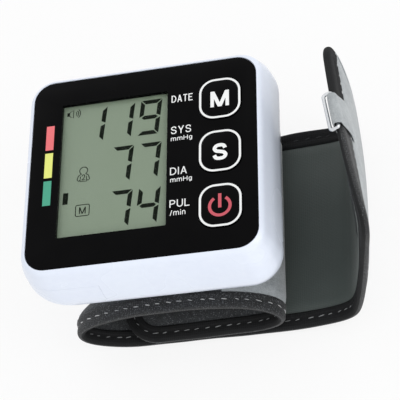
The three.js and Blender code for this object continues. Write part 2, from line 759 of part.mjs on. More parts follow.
/** The curve of the flap at a place across the band, from the fold to the free edge. */
function flapCurve(y) {
  const hinge = hingePoint(y);
  const bow = freeEdgeBow * (1 - (2 * y / cuffWidth) ** 2);
  const end = new THREE.Vector2(across('endX', y) - bow, across('endZ', y));
  return new THREE.CubicBezierCurve(hinge,
    hinge.clone().addScaledVector(heading(across('hingeAngle', y)), across('riseHandle', y)),
    end.clone().addScaledVector(heading(across('endAngle', y)), -across('endHandle', y)), end);
}

const tailLength = tailCurve(0).getLength();
const bandLength = loopLength + tailLength;
const flapLength = flapCurve(0).getLength();

/** A point beside a flat curve: off to its right-hand side by a height, at a place across the band. */
function beside(point, tangent, y, height) {
  return new THREE.Vector3(point.x + tangent.y * height, y, point.y - tangent.x * height);
}

/** How far a point of the loop's left side is drawn in to the right. */
function drawnRight(distance, y) {
  const past = distance - segmentStart(4);
  const turn = THREE.MathUtils.clamp(past / (past < 0 ? cinch.above : cinch.below), -1, 1) * Math.PI / 2;
  const share = THREE.MathUtils.clamp((y - cinchEdges[0]) / (cinchEdges[1] - cinchEdges[0]), 0, 1);
  return cinch.depth * share * Math.cos(turn) ** 2;
}

/** Where a point of the band lies: distance from its inner end, place across it, height off its middle. */
function bandPlace(distance, y, height) {
  if (distance > loopLength) {
    const curve = tailCurve(y);
    const share = Math.min((distance - loopLength) / tailLength, 1);
    return beside(curve.getPoint(share), curve.getTangent(share), y, height);
  }
  let k = segments.length - 1;
  while (k > 0 && distance < segmentStart(k)) k -= 1;
  const share = THREE.MathUtils.clamp((distance - segmentStart(k)) / segmentLengths[k], 0, 1);
  const drift = innerEndDrift * Math.max(1 - distance / crownPlace, 0);
  const { curve } = segments[k];
  const point = beside(curve.getPointAt(share), curve.getTangentAt(share), y - drift, height);
  return point.setX(point.x + drawnRight(distance, y));
}

/** Where a point of the flap lies: distance from its free edge, place across it, height off its middle. */
function flapPlace(distance, y, height) {
  const curve = flapCurve(y);
  const share = 1 - distance / flapLength;
  const held = THREE.MathUtils.clamp(share, 0, 1);
  const tangent = curve.getTangent(held);
  const crown = 1 - (2 * y / cuffWidth) ** 2;
  const bulge = flapBulge * Math.max(crown, 0) * 4 * held * (1 - held);
  const point = curve.getPoint(held).addScaledVector(tangent, (share - held) * flapLength);
  return beside(point, tangent, y, height + bulge);
}

/** Distances at which the band changes direction, from its inner end to the fold. */
function bandStations() {
  const stations = segments.flatMap(({ steps }, k) => Array.from({ length: steps },
    (unused, i) => segmentStart(k) + segmentLengths[k] * i / steps));
  const tail = Array.from({ length: tailSteps + 1 }, (unused, i) => loopLength + tailLength * i / tailSteps);
  return [...stations, ...tail];
}

const band = {
  place: bandPlace, stations: bandStations(), corner: innerEndCorner, columns: 1, creases: cinchEdges,
};
const flap = {
  place: flapPlace,
  stations: Array.from({ length: flapSteps + 1 }, (unused, i) => flapLength * i / flapSteps),
  corner: flapCorner,
  columns: flapColumns,
  creases: [],
};

/** Half the width of a fabric at a distance from its rounded end, drawn in by a margin. */
function halfWidth(fabric, distance, margin) {
  const radius = fabric.corner - margin;
  if (radius <= 0) return cuffWidth / 2 - margin;
  const fall = Math.max(fabric.corner - distance, 0);
  return cuffWidth / 2 - fabric.corner + Math.sqrt(Math.max(radius ** 2 - fall ** 2, 0));
}

/** The stations of one layer, with extra ones where its end is rounded. */
function layerStations(fabric, from, to, margin) {
  const radius = Math.max(fabric.corner - margin, 0);
  const rounded = Array.from({ length: cornerSteps + 1 }, (unused, k) =>
    fabric.corner - radius * Math.cos(k / cornerSteps * Math.PI / 2));
  return [from, to, ...(radius > 0 ? rounded : []), ...fabric.stations]
    .filter((distance) => distance >= from && distance <= to)
    .sort((a, b) => a - b)
    .filter((distance, k, all) => k === 0 || distance - all[k - 1] > clearance / 2);
}

/** The places across a fabric at which its strips meet: evenly spaced ones, and where it creases. */
function strips(fabric, half) {
  const even = Array.from({ length: fabric.columns + 1 }, (unused, j) => half * (2 * j / fabric.columns - 1));
  const creased = fabric.creases.map((y, k) => Math.max(y, half * (creaseStep * (k + 1) - 1)));
  return [...even, ...creased].sort((a, b) => a - b);
}

/** One layer of a fabric between two distances; heights(distance) gives its outer and inner face. */
function layer(fabric, from, to, margin, heights) {
  const rings = layerStations(fabric, from, to, margin).map((distance) => {
    const rows = strips(fabric, halfWidth(fabric, distance, margin));
    const [outer, inner] = heights(distance);
    return [
      ...rows.map((y) => fabric.place(distance, y, outer)),
      ...rows.toReversed().map((y) => fabric.place(distance, y, inner)),
    ];
  });
  const order = strips(fabric, cuffWidth / 2);
  const cap = [...order.map((y) => new THREE.Vector2(y, 1)),
    ...order.toReversed().map((y) => new THREE.Vector2(y, -1))];
  return loft(rings, cap);
}

/** Edge tape round three sides of a fabric, from the fold round its rounded end and back to the fold. */
function edgeBinding(fabric, foldDistance) {
  const half = cuffWidth / 2;
  const { corner } = fabric;
  const straight = layerStations(fabric, corner, foldDistance, 0);
  const side = (sign) => straight.map((distance) =>
    [new THREE.Vector2(distance, sign * half), new THREE.Vector2(distance, sign * (half - bindingWidth))]);
  const bend = (sign) => Array.from({ length: cornerSteps }, (unused, k) => {
    const angle = (k + 1) / cornerSteps * Math.PI / 2;
    const middle = new THREE.Vector2(corner, sign * (half - corner));
    const out = new THREE.Vector2(-Math.sin(angle), sign * Math.cos(angle));
    return [corner, corner - bindingWidth].map((reach) => middle.clone().addScaledVector(out, reach));
  });
  const end = Array.from({ length: fabric.columns - 1 }, (unused, k) => {
    const y = lerp(corner - half, half - corner, (k + 1) / fabric.columns);
    return [new THREE.Vector2(0, y), new THREE.Vector2(bindingWidth, y)];
  });
  const outline = [...side(-1).toReversed(), ...bend(-1), ...end, ...bend(1).toReversed(), ...side(1)];
  const high = bindingThickness / 2;
  const rings = outline.map(([outer, inner]) => [
    fabric.place(outer.x, outer.y, high), fabric.place(inner.x, inner.y, high),
    fabric.place(inner.x, inner.y, -high), fabric.place(outer.x, outer.y, -high),
  ]);
  return loft(rings, ringPoints(1, rings[0].length));
}

const face = cuffThickness / 2;
const underCover = face - coverThickness;
const coreFace = underCover - clearance;
const stiffenerUnder = coreFace - stiffenerThickness;
const bladderTop = stiffenerUnder - clearance;
const layerMargin = bindingWidth + clearance;
const bladderEnd = segmentStart(4);
const stiffenerEnd = segmentStart(5);
const bandFold = bandLength - bandFoldGap;
const flapFold = flapLength - flapFoldGap;

/** A hole for the air port through a layer under the monitor. */
function withPortHole(geometry) {
  const hole = post(port.radius + clearance, [cuffThickness + loopRise / 2, panelHeight - housingDepth],
    airX, airY);
  return cut(geometry, [hole]);
}

/** The flap's core, whose near end is rounded about the fold. */
function flapCore() {
  const nose = Array.from({ length: noseSteps }, (unused, k) =>
    flapLength + coreFace * Math.sin((k + 1) / (noseSteps + 1 / 2) * Math.PI / 2));
  const heights = (distance) => {
    const past = Math.max(distance - flapLength, 0);
    const high = Math.sqrt(coreFace ** 2 - past ** 2);
    return [high, -high];
  };
  const shaped = { ...flap, stations: [...flap.stations, ...nose] };
  return layer(shaped, layerMargin, nose.at(-1), layerMargin, heights);
}

/** Plate between housing and cuff: flat above, and hollowed below to the cuff's curve. */
function cuffMountPlate() {
  const top = panelHeight - housingDepth - clearance;
  const under = Array.from({ length: plateSteps + 1 }, (unused, k) =>
    bandPlace(crownPlace + plateHalfWidth * (2 * k / plateSteps - 1), 0, face + clearance));
  const outline = [...under.map((point) => new THREE.Vector2(point.x, point.z)),
    new THREE.Vector2(under.at(-1).x, top), new THREE.Vector2(under[0].x, top)];
  const rings = [-1, 1].map((side) =>
    outline.map((point) => new THREE.Vector3(point.x, side * plateLength / 2, point.y)));
  const holes = mountScrewPlaces.map(([x, y]) => post(mountScrew.shank + clearance, [0, panelHeight], x, y));
  return withPortHole(cut(loft(rings, outline), holes));
}

/** Air port: a flanged tube from inside the housing down to the bladder. */
function airPort() {
  const bladderHeight = bandPlace(crownPlace, 0, bladderTop + clearance).z - panelHeight;
  const flangeTop = -onFloor + port.flangeThickness;
  const profile = [
    [nozzleRadius / 2, flangeTop + nozzleLength], [nozzleRadius, flangeTop + nozzleLength],
    [nozzleRadius, flangeTop], [port.flange, flangeTop], [port.flange, -onFloor], [port.radius, -onFloor],
    [port.radius, bladderHeight], [nozzleRadius / 2, bladderHeight],
  ];
  const closed = [...profile, profile[0]].map(([radius, z]) => new THREE.Vector2(radius, z));
  const lathe = mergeVertices(bareLathe(closed));
  return facingOut(lathe.rotateX(Math.PI / 2).translate(airX, airY, 0));
}

/** A turned body about Y, with position data only. */
function bareLathe(profile) {
  const lathe = new THREE.LatheGeometry(profile, roundSides);
  lathe.deleteAttribute('normal');
  lathe.deleteAttribute('uv');
  return lathe;
}

/** The outline of a strap along a path of points, half its thickness to each side. */
function strapOutline(points, thickness) {
  const sides = points.map((point, k) => {
    const before = points[Math.max(k - 1, 0)];
    const after = points[Math.min(k + 1, points.length - 1)];
    const along = after.clone().sub(before).normalize();
    return [1, -1].map((way) => new THREE.Vector2(
      point.x - way * along.y * thickness / 2, point.y + way * along.x * thickness / 2));
  });
  return [...sides.map(([left]) => left), ...sides.map(([, right]) => right).toReversed()];
}

/** Tab: a strap folded over the flap's free edge and round the ring's bar. */
function endTab() {
  const overCover = face + clearance + tab.thickness / 2;
  const overBinding = bindingThickness / 2 + clearance + tab.thickness / 2;
  const at = (distance, height) => new THREE.Vector2(distance, height);
  const overBar = ring.wire + clearance + tab.thickness / 2;
  const bend = Array.from({ length: 2 * tab.steps + 1 }, (unused, k) => {
    const angle = k / (2 * tab.steps) * Math.PI;
    return at(-tab.reach - overBar * Math.sin(angle), overBar * Math.cos(angle));
  });
  const outline = strapOutline([
    at(tab.outerLeg, overCover), at(layerMargin, overCover), at(layerMargin - tab.step, overBinding),
    at(0, overBinding), ...bend, at(0, -overBinding), at(tab.innerLeg, -overBinding),
  ], tab.thickness);
  const rings = Array.from({ length: tab.steps + 1 }, (unused, k) => {
    const y = ring.y + tab.width * (k / tab.steps - 1 / 2);
    return outline.map((point) => flapPlace(point.x, y, point.y));
  });
  return loft(rings, outline);
}

/** Ring of round wire, with one bar on its own X axis and the other bar at +Y. */
function wireRing() {
  const path = roundedRectangle((ring.length - 2 * ring.wire) / 2, ring.spacing / 2, ring.corner,
    0, ring.spacing / 2).filter((point, k) => k % 2 === 0);
  const rings = path.map((point, k) => {
    const along = path[(k + 1) % path.length].clone().sub(path.at(k - 1)).normalize();
    return ringPoints(ring.wire).map((spot) => new THREE.Vector3(
      point.x + along.y * spot.x, point.y - along.x * spot.x, spot.y));
  });
  return loft(rings);
}

/** Turns and moves the ring to its bar's place in the tab. */
function seatRing(mesh) {
  const bar = flapPlace(-tab.reach, ring.y, 0);
  const along = flapPlace(0, cuffWidth / 2, 0).sub(flapPlace(0, -cuffWidth / 2, 0)).normalize();
  const out = bar.clone().sub(flapPlace(0, ring.y, 0)).normalize();
  const side = new THREE.Vector3().crossVectors(along, out).normalize();
  const up = new THREE.Vector3().crossVectors(side, along);
  mesh.quaternion.setFromRotationMatrix(new THREE.Matrix4().makeBasis(along, up, side));
  mesh.rotateX(-degToRad(ring.lean));
  mesh.position.copy(bar);
}

// Housing and panel
addPiece(monitor, 'front_shell', frontShell(), whiteShell);
addPiece(monitor, 'back_shell', backShell(), whiteShell);
addPiece(monitor, 'battery_door', batteryDoor(), whiteShell);
addPiece(monitor, 'front_panel', frontPanel(), blackGloss);
addPiece(monitor, 'display_window',
  plate(windowOutline(-clearance), [-windowThickness - clearance / 2, -clearance / 2]), clearWindow);
addPiece(monitor, 'lcd_glass', lcdGlass(), lcdGreen);
addPiece(monitor, 'lcd_frame', lcdFrame(), greyPlastic);
addPiece(monitor, 'elastomer_connector', elastomerConnector(), darkRubber);

// Buttons
buttonNames.forEach((name, k) => {
  addPiece(monitor, `${name}_button`, buttonCap(k), blackGloss);
  addPiece(monitor, `${name}_plunger`, buttonPlunger(k), darkRubber);
});
addPiece(monitor, 'rubber_keypad', rubberKeypad(), darkRubber);

// Board and what it carries
addPiece(monitor, 'main_board', mainBoard(), boardGreen);
addPiece(monitor, 'controller_chip', box(around(airX - controller.offset, controller.size),
  around(boardLength / 2 - controller.endInset, controller.size),
  [-underBoard - controller.height, -underBoard]), darkPlastic);
addPiece(monitor, 'storage_capacitor', post(capacitor.radius, [-underBoard - capacitor.height, -underBoard],
  boardRightX - capacitor.sideInset, boardLength / 2 - capacitor.endInset), darkPlastic);
addPiece(monitor, 'pressure_sensor', pressureSensor(), greyPlastic);
addPiece(monitor, 'buzzer', post(buzzer.radius, [-underBoard - buzzer.height, -underBoard],
  airX - buzzer.offset, buzzer.endInset - boardLength / 2, smoothSides), darkPlastic);
boardScrewPlaces.forEach((place, k) =>
  addPiece(monitor, `board_screw_${k + 1}`, screw(boardScrew, place, -underBoard, boardScrew.length), steel));
caseScrewPlaces.forEach((place, k) => addPiece(monitor, `case_screw_${k + 1}`,
  screw(caseScrew, place, -caseScrewHeadDepth - clearance, caseScrew.length), steel));

// Air system
addPiece(monitor, 'pump_motor', pumpMotor(), steel);
addPiece(monitor, 'pump_crank', pumpCrank(), steel);
addPiece(monitor, 'pump_head', pumpHeadBody(), greyPlastic);
addPiece(monitor, 'pump_diaphragm', drum(pumpHead.cavity - clearance,
  [diaphragmY, diaphragmY + diaphragmThickness], motorX, -airDepth, smoothSides), darkRubber);
addPiece(monitor, 'release_valve', releaseValve(), darkPlastic);
addPiece(monitor, 'valve_plunger', valvePlunger(), steel);
addPiece(monitor, 'air_manifold', airManifold(), greyPlastic);
addPiece(monitor, 'pump_hose', pumpHose(), clearSilicone);
addPiece(monitor, 'valve_hose', valveHose(), clearSilicone);
addPiece(monitor, 'sensor_hose', uprightHose(
  -airDepth + manifoldSize.height / 2 + clearance, -underBoard - sensor.height - clearance), clearSilicone);
addPiece(monitor, 'port_hose', uprightHose(
  -onFloor + port.flangeThickness + clearance,
  -airDepth - manifoldSize.height / 2 - clearance), clearSilicone);
addPiece(monitor, 'air_port', airPort(), greyPlastic);

// Cells and their tray
addPiece(monitor, 'battery_tray', batteryTray(), whiteShell);
addPiece(monitor, 'outer_cell', batteryCell(cellX - cellPitch / 2, 1), cellJacket);
addPiece(monitor, 'inner_cell', batteryCell(cellX + cellPitch / 2, -1), cellJacket);
addPiece(monitor, 'bridge_contact', batteryContact(-1, cellX, cellPitch), steel);
addPiece(monitor, 'outer_contact', batteryContact(1, cellX - cellPitch / 2, 0), steel);
addPiece(monitor, 'inner_contact', batteryContact(1, cellX + cellPitch / 2, 0), steel);

// Mounting of the cuff
addPiece(cuff, 'cuff_mount_plate', cuffMountPlate(), darkPlastic);
mountScrewPlaces.forEach((place, k) =>
  addPiece(monitor, `mount_screw_${k + 1}`, mountingScrew(place), steel));

// Cuff band
addPiece(cuff, 'cuff_cover', withPortHole(layer(band, layerMargin, bandFold, layerMargin,
  () => [face, underCover])), greyPlush);
addPiece(cuff, 'cuff_lining', layer(band, layerMargin, bandFold, layerMargin,
  () => [-underCover, -face]), darkNylon);
addPiece(cuff, 'cuff_stiffener', withPortHole(layer(band, layerStart, stiffenerEnd, layerMargin,
  () => [coreFace, stiffenerUnder])), greyPlastic);
addPiece(cuff, 'air_bladder', layer(band, layerStart, bladderEnd, bladderMargin,
  () => [bladderTop, -coreFace]), bladderFilm);
addPiece(cuff, 'tail_core', layer(band, stiffenerEnd + clearance, bandLength - coreFace - coreFoldGap,
  layerMargin, () => [coreFace, -coreFace]), feltCore);
addPiece(cuff, 'cuff_binding', edgeBinding(band, bandFold), darkTape);

// Flap, its patch, and the ring in its tab
addPiece(cuff, 'flap_cover', layer(flap, layerMargin, flapFold, layerMargin,
  () => [face, underCover]), greyPlush);
addPiece(cuff, 'flap_lining', layer(flap, layerMargin, flapFold, layerMargin,
  () => [-underCover, -face]), darkNylon);
addPiece(cuff, 'flap_core', flapCore(), feltCore);
addPiece(cuff, 'flap_binding', edgeBinding(flap, flapFold), darkTape);
addPiece(cuff, 'hook_patch', layer(flap, hookPatch.start, hookPatch.start + hookPatch.length,
  (cuffWidth - hookPatch.width) / 2,
  () => [-face - clearance, -face - clearance - hookPatch.thickness]), darkTape);
addPiece(cuff, 'end_tab', endTab(), greyPlush);
seatRing(addPiece(cuff, 'metal_ring', wireRing(), steel));

export default assembly;
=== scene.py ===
"""Wrist blood pressure monitor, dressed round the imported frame.

Sizes in the classes are millimetres in the frame's axes: X to the right of the display, Y up the
display, Z out of it. The origin lies on the rest surface under the middle of the panel.
"""

import logging
from collections.abc import Callable, Sequence
from dataclasses import dataclass, field
from enum import Enum
from math import cos, dist, exp, hypot, pi, radians, sin, sqrt, tan

import bmesh
import bpy
import numpy as np
from mathutils import Matrix, Vector


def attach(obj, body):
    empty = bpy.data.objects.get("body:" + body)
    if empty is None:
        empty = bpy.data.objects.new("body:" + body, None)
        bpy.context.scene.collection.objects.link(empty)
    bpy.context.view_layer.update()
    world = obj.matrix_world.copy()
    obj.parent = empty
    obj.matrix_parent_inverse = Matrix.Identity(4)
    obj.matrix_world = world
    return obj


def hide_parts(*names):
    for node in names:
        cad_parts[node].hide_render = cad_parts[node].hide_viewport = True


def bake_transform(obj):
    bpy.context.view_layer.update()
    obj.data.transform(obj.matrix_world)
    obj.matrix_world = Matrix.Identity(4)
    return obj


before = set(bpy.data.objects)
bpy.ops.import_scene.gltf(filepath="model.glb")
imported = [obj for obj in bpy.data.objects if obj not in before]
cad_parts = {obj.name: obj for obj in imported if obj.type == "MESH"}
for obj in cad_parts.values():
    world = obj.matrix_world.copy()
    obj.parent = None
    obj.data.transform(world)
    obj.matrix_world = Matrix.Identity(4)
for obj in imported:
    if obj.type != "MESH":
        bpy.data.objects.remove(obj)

MM = 0.001
PANEL_HEIGHT = 51.5
# A cutting tool reaches this far past its cut, or this far out where it takes everything beyond.
PAST, AWAY = 1.0, 60.0
TINY = 1e-6
log = logging.getLogger("wrist_monitor")
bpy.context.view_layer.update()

Point2 = tuple[float, float]
Point3 = tuple[float, float, float]
Point4 = tuple[float, float, float, float]
Points = tuple[Point2, ...]
Array = np.ndarray
Height = Callable[[Array, Array], Array]
Piece = bpy.types.Object
Tree = bpy.types.NodeTree
Socket = bpy.types.NodeSocket


# Materials


class Surface(Enum):
    """How a surface was made, which sets the pattern of its relief."""

    MOULDED = "moulded"
    BRUSHED = "brushed"
    WOVEN = "woven"
    PLUSH = "plush"
    HOOKED = "hooked"


MOULDED, BRUSHED, WOVEN, PLUSH, HOOKED = Surface


def linear(colour: str) -> tuple[float, float, float, float]:
    """Turns an sRGB hex colour into a linear one.

    Args:
        colour: Six hex digits after a hash sign.

    Returns:
        Linear red, green, blue and an alpha of one.
    """
    parts = [int(colour[k : k + 2], 16) / 255 for k in (1, 3, 5)]
    rgb = [p / 12.92 if p <= 0.04045 else ((p + 0.055) / 1.055) ** 2.4 for p in parts]
    return rgb[0], rgb[1], rgb[2], 1.0


def add_node(tree: Tree, kind: str, inputs: dict | None = None, **settings: object) -> bpy.types.NodeOutputs:
    """Adds a node, sets its options, and sets or links its inputs.

    Args:
        tree: The node tree.
        kind: The node's type name, without its ShaderNode.
        inputs: Values or output sockets by input name or number.
        **settings: Options of the node.

    Returns:
        The new node's outputs.
    """
    node = tree.nodes.new(f"ShaderNode{kind}")
    for name, value in settings.items():
        setattr(node, name, value)
    for key, value in (inputs or {}).items():
        if isinstance(value, Socket):
            tree.links.new(value, node.inputs[key])
        else:
            node.inputs[key].default_value = value
    return node.outputs


@dataclass(frozen=True)
class Finish:
    """One real material and how its surface was made.

    pitch is the size of its pattern, relief its height and patch the size of slow changes of colour,
    all in millimetres. colour and shade are the ends of the colour's range, and spread says how much
    of that range the pattern itself takes, against the slow patches. lint is the colour of pale specks.
    """

    name: str
    surface: Surface
    colour: str
    shade: str
    roughness: float
    pitch: float
    relief: float
    ior: float = 1.5
    metallic: float = 0.0
    patch: float = 14.0
    spread: float = 0.4
    uneven: float = 0.06
    lint: str | None = None
    sockets: tuple[tuple[str, float], ...] = ()

    @property
    def is_cloth(self) -> bool:
        """Whether the pattern follows the cloth's own width and length."""
        return self.surface in (WOVEN, PLUSH, HOOKED)

    def pattern(self, tree: Tree, place: Socket) -> Socket:
        """Adds the relief pattern.

        Args:
            tree: The material's nodes.
            place: The coordinates it follows, in metres.

        Returns:
            A height from 0 to 1.
        """
        scale = 1 / (self.pitch * MM)
        if self.surface is BRUSHED:
            # The marks are 14 times as long as they are wide.
            drawn = add_node(tree, "Mapping", {"Vector": place, "Scale": (scale, scale, scale / 14)})
            grain = {"Vector": drawn[0], "Scale": 1.0, "Detail": 3.0}
            return add_node(tree, "TexNoise", grain)[0]
        if self.surface is MOULDED:
            grain = {"Vector": place, "Scale": scale, "Detail": 2.0, "Roughness": 0.5}
            return add_node(tree, "TexNoise", grain)[0]
        if self.surface is HOOKED:
            rows = {"Vector": place, "Scale": scale}
            cells = add_node(tree, "TexVoronoi", rows)["Distance"]
            return add_node(tree, "Math", {0: 1.0, 1: cells}, operation="SUBTRACT")[0]
        # Single fibres are finer than the thread or the tuft that they lie in.
        fibre = {"Vector": place, "Scale": scale * 1.7, "Detail": 4.0, "Roughness": 0.65}
        fibres = add_node(tree, "TexNoise", fibre)[0]
        if self.surface is WOVEN:
            # A wave's bands are 2 pi / 20 apart at a scale of 1, so a thread is a tenth of pi wide.
            wave = {"Vector": place, "Scale": pi / 10 * scale, "Distortion": 0.6, "Detail": 1.0}
            warp, weft = (add_node(tree, "TexWave", wave, bands_direction=way)["Fac"] for way in "XY")
            crossed = add_node(tree, "Math", {0: warp, 1: weft}, operation="MAXIMUM")[0]
            return add_node(tree, "Math", {0: crossed, 1: fibres}, operation="MULTIPLY")[0]
        nap = {"Vector": place, "Scale": scale * 0.4, "Detail": 2.0, "Distortion": 0.6}
        tufts = add_node(tree, "TexNoise", nap)[0]
        return add_node(tree, "Mix", {0: 0.3, 2: fibres, 3: tufts}, data_type="FLOAT")[0]

    def specks(self, tree: Tree, place: Socket, tint: Socket) -> Socket:
        """Strews lint specks of about 0.2 mm over the colour.

        Args:
            tree: The material's nodes.
            place: The coordinates they follow, in metres.
            tint: The colour under them.

        Returns:
            The colour with the specks.
        """
        grain = {"Vector": place, "Scale": 1 / (0.36 * MM), "Detail": 2.0}
        dots = add_node(tree, "TexNoise", grain)[0]
        peaks = {"Value": dots, "From Min": 0.56, "From Max": 0.78}
        share = add_node(tree, "MapRange", peaks)[0]
        mix = {0: share, 6: tint, 7: linear(self.lint)}
        return add_node(tree, "Mix", mix, data_type="RGBA")[2]

    def build(self) -> bpy.types.Material:
        """Makes the material, once.

        Returns:
            The material.
        """
        if self.name in bpy.data.materials:
            return bpy.data.materials[self.name]
        material = bpy.data.materials.new(self.name)
        material.use_nodes = True
        tree = material.node_tree
        shader = tree.nodes["Principled BSDF"]
        if self.is_cloth:
            place = add_node(tree, "Attribute", attribute_name="cloth")["Vector"]
        else:
            place = add_node(tree, "TexCoord")["Object"]
        height = self.pattern(tree, place)
        # Noise seldom leaves the values from low to high, so the whole range lies between them.
        low, tint_high, gloss_high = 0.3, 0.62, 0.7
        patches = {"Vector": place, "Scale": 1 / (self.patch * MM), "Detail": 2.0}
        slow = add_node(tree, "TexNoise", patches)[0]
        mix = {0: self.spread, 2: slow, 3: height}
        blend = add_node(tree, "Mix", mix, data_type="FLOAT")[0]
        span = {"Value": blend, "From Min": low, "From Max": tint_high}
        share = add_node(tree, "MapRange", span)[0]
        mix = {0: share, 6: linear(self.shade), 7: linear(self.colour)}
        tint = add_node(tree, "Mix", mix, data_type="RGBA")[2]
        if self.lint:
            tint = self.specks(tree, place, tint)
        least, most = max(self.roughness - self.uneven, 0.02), min(self.roughness + self.uneven, 1.0)
        span = {"Value": slow, "From Min": low, "From Max": gloss_high, "To Min": least, "To Max": most}
        gloss = add_node(tree, "MapRange", span)[0]
        relief = {"Height": height, "Distance": self.relief * MM, "Strength": 1.0}
        bump = add_node(tree, "Bump", relief)[0]
        for name, socket in (("Base Color", tint), ("Roughness", gloss), ("Normal", bump)):
            tree.links.new(socket, shader.inputs[name])
        values = {"Metallic": self.metallic, **dict(self.sockets)}
        if not self.metallic:
            values["IOR"] = self.ior
        for name, value in values.items():
            shader.inputs[name].default_value = value
        material.diffuse_color = linear(self.colour)
        return material


# ABS, injection moulded in a polished tool: a soft even gloss with the faint ripple of moulding.
WHITE_ABS = Finish("moulded_white_abs", MOULDED, "#E9F0FD", "#E4EBFA", 0.26, 1.6, 0.006, 1.53, patch=22)
# PMMA, cut from polished sheet and printed black behind: deep black under a mirror-like face.
BLACK_PMMA = Finish(
    "back_printed_black_pmma", MOULDED, "#060607", "#030304", 0.09, 6, 0.002, 1.49, uneven=0.02,
    sockets=(("Specular IOR Level", 0.05),),
)
# PMMA, clear window: only its reflections show.
CLEAR_PMMA = Finish(
    "clear_pmma_window", MOULDED, "#101210", "#0C0E0C", 0.05, 6, 0.001, 1.49, uneven=0.01,
    sockets=(("Alpha", 0.07), ("Specular IOR Level", 0.1)),
)
# Liquid crystal glass over a reflector: green grey with a fine grain.
LCD_GLASS = Finish("liquid_crystal_glass", MOULDED, "#93A48F", "#8E9F88", 0.38, 0.35, 0.002, 1.52, patch=30)
# Liquid crystal that is switched on: near black with a green cast, and a little light through it.
LCD_DARK = Finish(
    "switched_liquid_crystal", MOULDED, "#10190F", "#0C140B", 0.5, 0.5, 0.001, 1.52,
    sockets=(("Specular IOR Level", 0.1),),
)
# Screen printed inks: matt, with the slight unevenness of the screen.
WHITE_INK, RED_INK, YELLOW_INK, GREEN_INK, ROSE_INK = (
    Finish(f"screen_printed_{name}_ink", MOULDED, colour, shade, 0.5, 0.4, 0.003)
    for name, colour, shade in (
        ("white", "#F6F7F7", "#E9EBEB"),
        ("red", "#EE7479", "#E66C71"),
        ("yellow", "#E6EB7E", "#DFE475"),
        ("green", "#43A486", "#3B997D"),
        ("rose", "#CC5663", "#C24D5A"),
    )
)
# Polyester plush, brushed after knitting: pale loops over darker gaps. Its loops are about 0.3 mm, drawn
# at 0.55 mm so that they show.
GREY_PLUSH = Finish(
    "brushed_grey_polyester_plush", PLUSH, "#BABFC1", "#82888C", 0.95, 0.55, 0.25, 1.5, patch=9,
    spread=0.7, sockets=(("Sheen Weight", 0.35), ("Sheen Roughness", 0.4)),
)
# Nylon taffeta, plain woven and laminated: smooth dark olive grey. Its threads are 0.2 mm, drawn at 0.5 mm.
DARK_NYLON = Finish(
    "woven_dark_nylon_taffeta", WOVEN, "#59625F", "#454D4A", 0.62, 0.5, 0.05, 1.53, patch=26,
    spread=0.45, sockets=(("Sheen Weight", 0.12),),
)
# Nylon edge tape, twill woven: near black with pale lint. Its threads are 0.3 mm, drawn at 0.6 mm.
DARK_TAPE = Finish(
    "woven_black_nylon_tape", WOVEN, "#26282B", "#0F1011", 0.8, 0.6, 0.14, 1.53, patch=8,
    spread=0.7, lint="#787B7E", sockets=(("Sheen Weight", 0.15),),
)
# The same tape, blacker and free of lint: on its wrist side, and on its outer leg along the far edge past the
# loop.
BLACK_TAPE = Finish(
    "lint_free_black_nylon_tape", WOVEN, "#202123", "#0E0F10", 0.8, 0.6, 0.1, 1.53, patch=8,
    spread=0.6, sockets=(("Specular IOR Level", 0.3),),
)
# Velour pad, brushed nylon: rough black pile that takes no highlight.
BLACK_VELOUR = Finish(
    "brushed_black_nylon_velour", PLUSH, "#3F4245", "#0F1011", 0.95, 0.6, 0.3, 1.53, patch=7,
    spread=0.75, lint="#7C7F82", sockets=(("Sheen Weight", 0.25),),
)
# Hook tape, moulded nylon hooks in rows: dark with small glints. Its hooks are 0.6 mm apart.
HOOK_TAPE = Finish("moulded_nylon_hook_tape", HOOKED, "#3F4244", "#1D1F20", 0.5, 0.6, 0.4, 1.53, spread=0.8)
# Polyester thread, twisted: off-white, grey or near black. Each strand is 0.25 mm.
WHITE_THREAD, GREY_THREAD, BLACK_THREAD = (
    Finish(f"twisted_{name}_polyester_thread", BRUSHED, colour, shade, 0.7, 0.25, 0.05)
    for name, colour, shade in (
        ("white", "#D0D1D1", "#8C8E90"),
        ("grey", "#9A9C9D", "#6E7072"),
        ("black", "#3A3C3E", "#222426"),
    )
)
# Polyurethane foam, cut from block: open cells of about 0.5 mm.
GREY_FOAM = Finish("cut_grey_polyurethane_foam", PLUSH, "#6A6D70", "#4B4E50", 1.0, 0.5, 0.2)
# Thermoplastic urethane film, welded: thin, smooth and slightly cloudy.
BLADDER_FILM = Finish("welded_urethane_film", MOULDED, "#97A3A5", "#86949A", 0.42, 3, 0.02, 1.5)
# Steel, drawn and nickel plated: bright with fine marks along it.
PLATED_STEEL = Finish(
    "drawn_nickel_plated_steel", BRUSHED, "#E2E4E6", "#C8CBCF", 0.16, 0.3, 0.004, metallic=1.0
)
# Grey and dark ABS, moulded with a fine spark-eroded grain of about 0.4 mm.
GREY_ABS = Finish("grained_grey_abs", MOULDED, "#BEC1C5", "#B0B4B8", 0.5, 0.4, 0.012, 1.53)
DARK_ABS = Finish("grained_dark_abs", MOULDED, "#303234", "#26282A", 0.5, 0.4, 0.015, 1.53)
# Glass-fibre laminate under green solder mask: smooth with a faint weave of 0.5 mm.
GREEN_LAMINATE = Finish("solder_masked_laminate", MOULDED, "#256A3E", "#1A5230", 0.4, 0.5, 0.01, 1.55)
# Silicone rubber, compression moulded: dull and slightly dusty.
DARK_SILICONE = Finish("moulded_dark_silicone", MOULDED, "#36383A", "#2C2E30", 0.75, 0.6, 0.02, 1.41)
CLEAR_SILICONE = Finish(
    "extruded_clear_silicone", MOULDED, "#DEDACB", "#CFCBBB", 0.35, 2, 0.01, 1.41,
    sockets=(("Subsurface Weight", 0.3),),
)
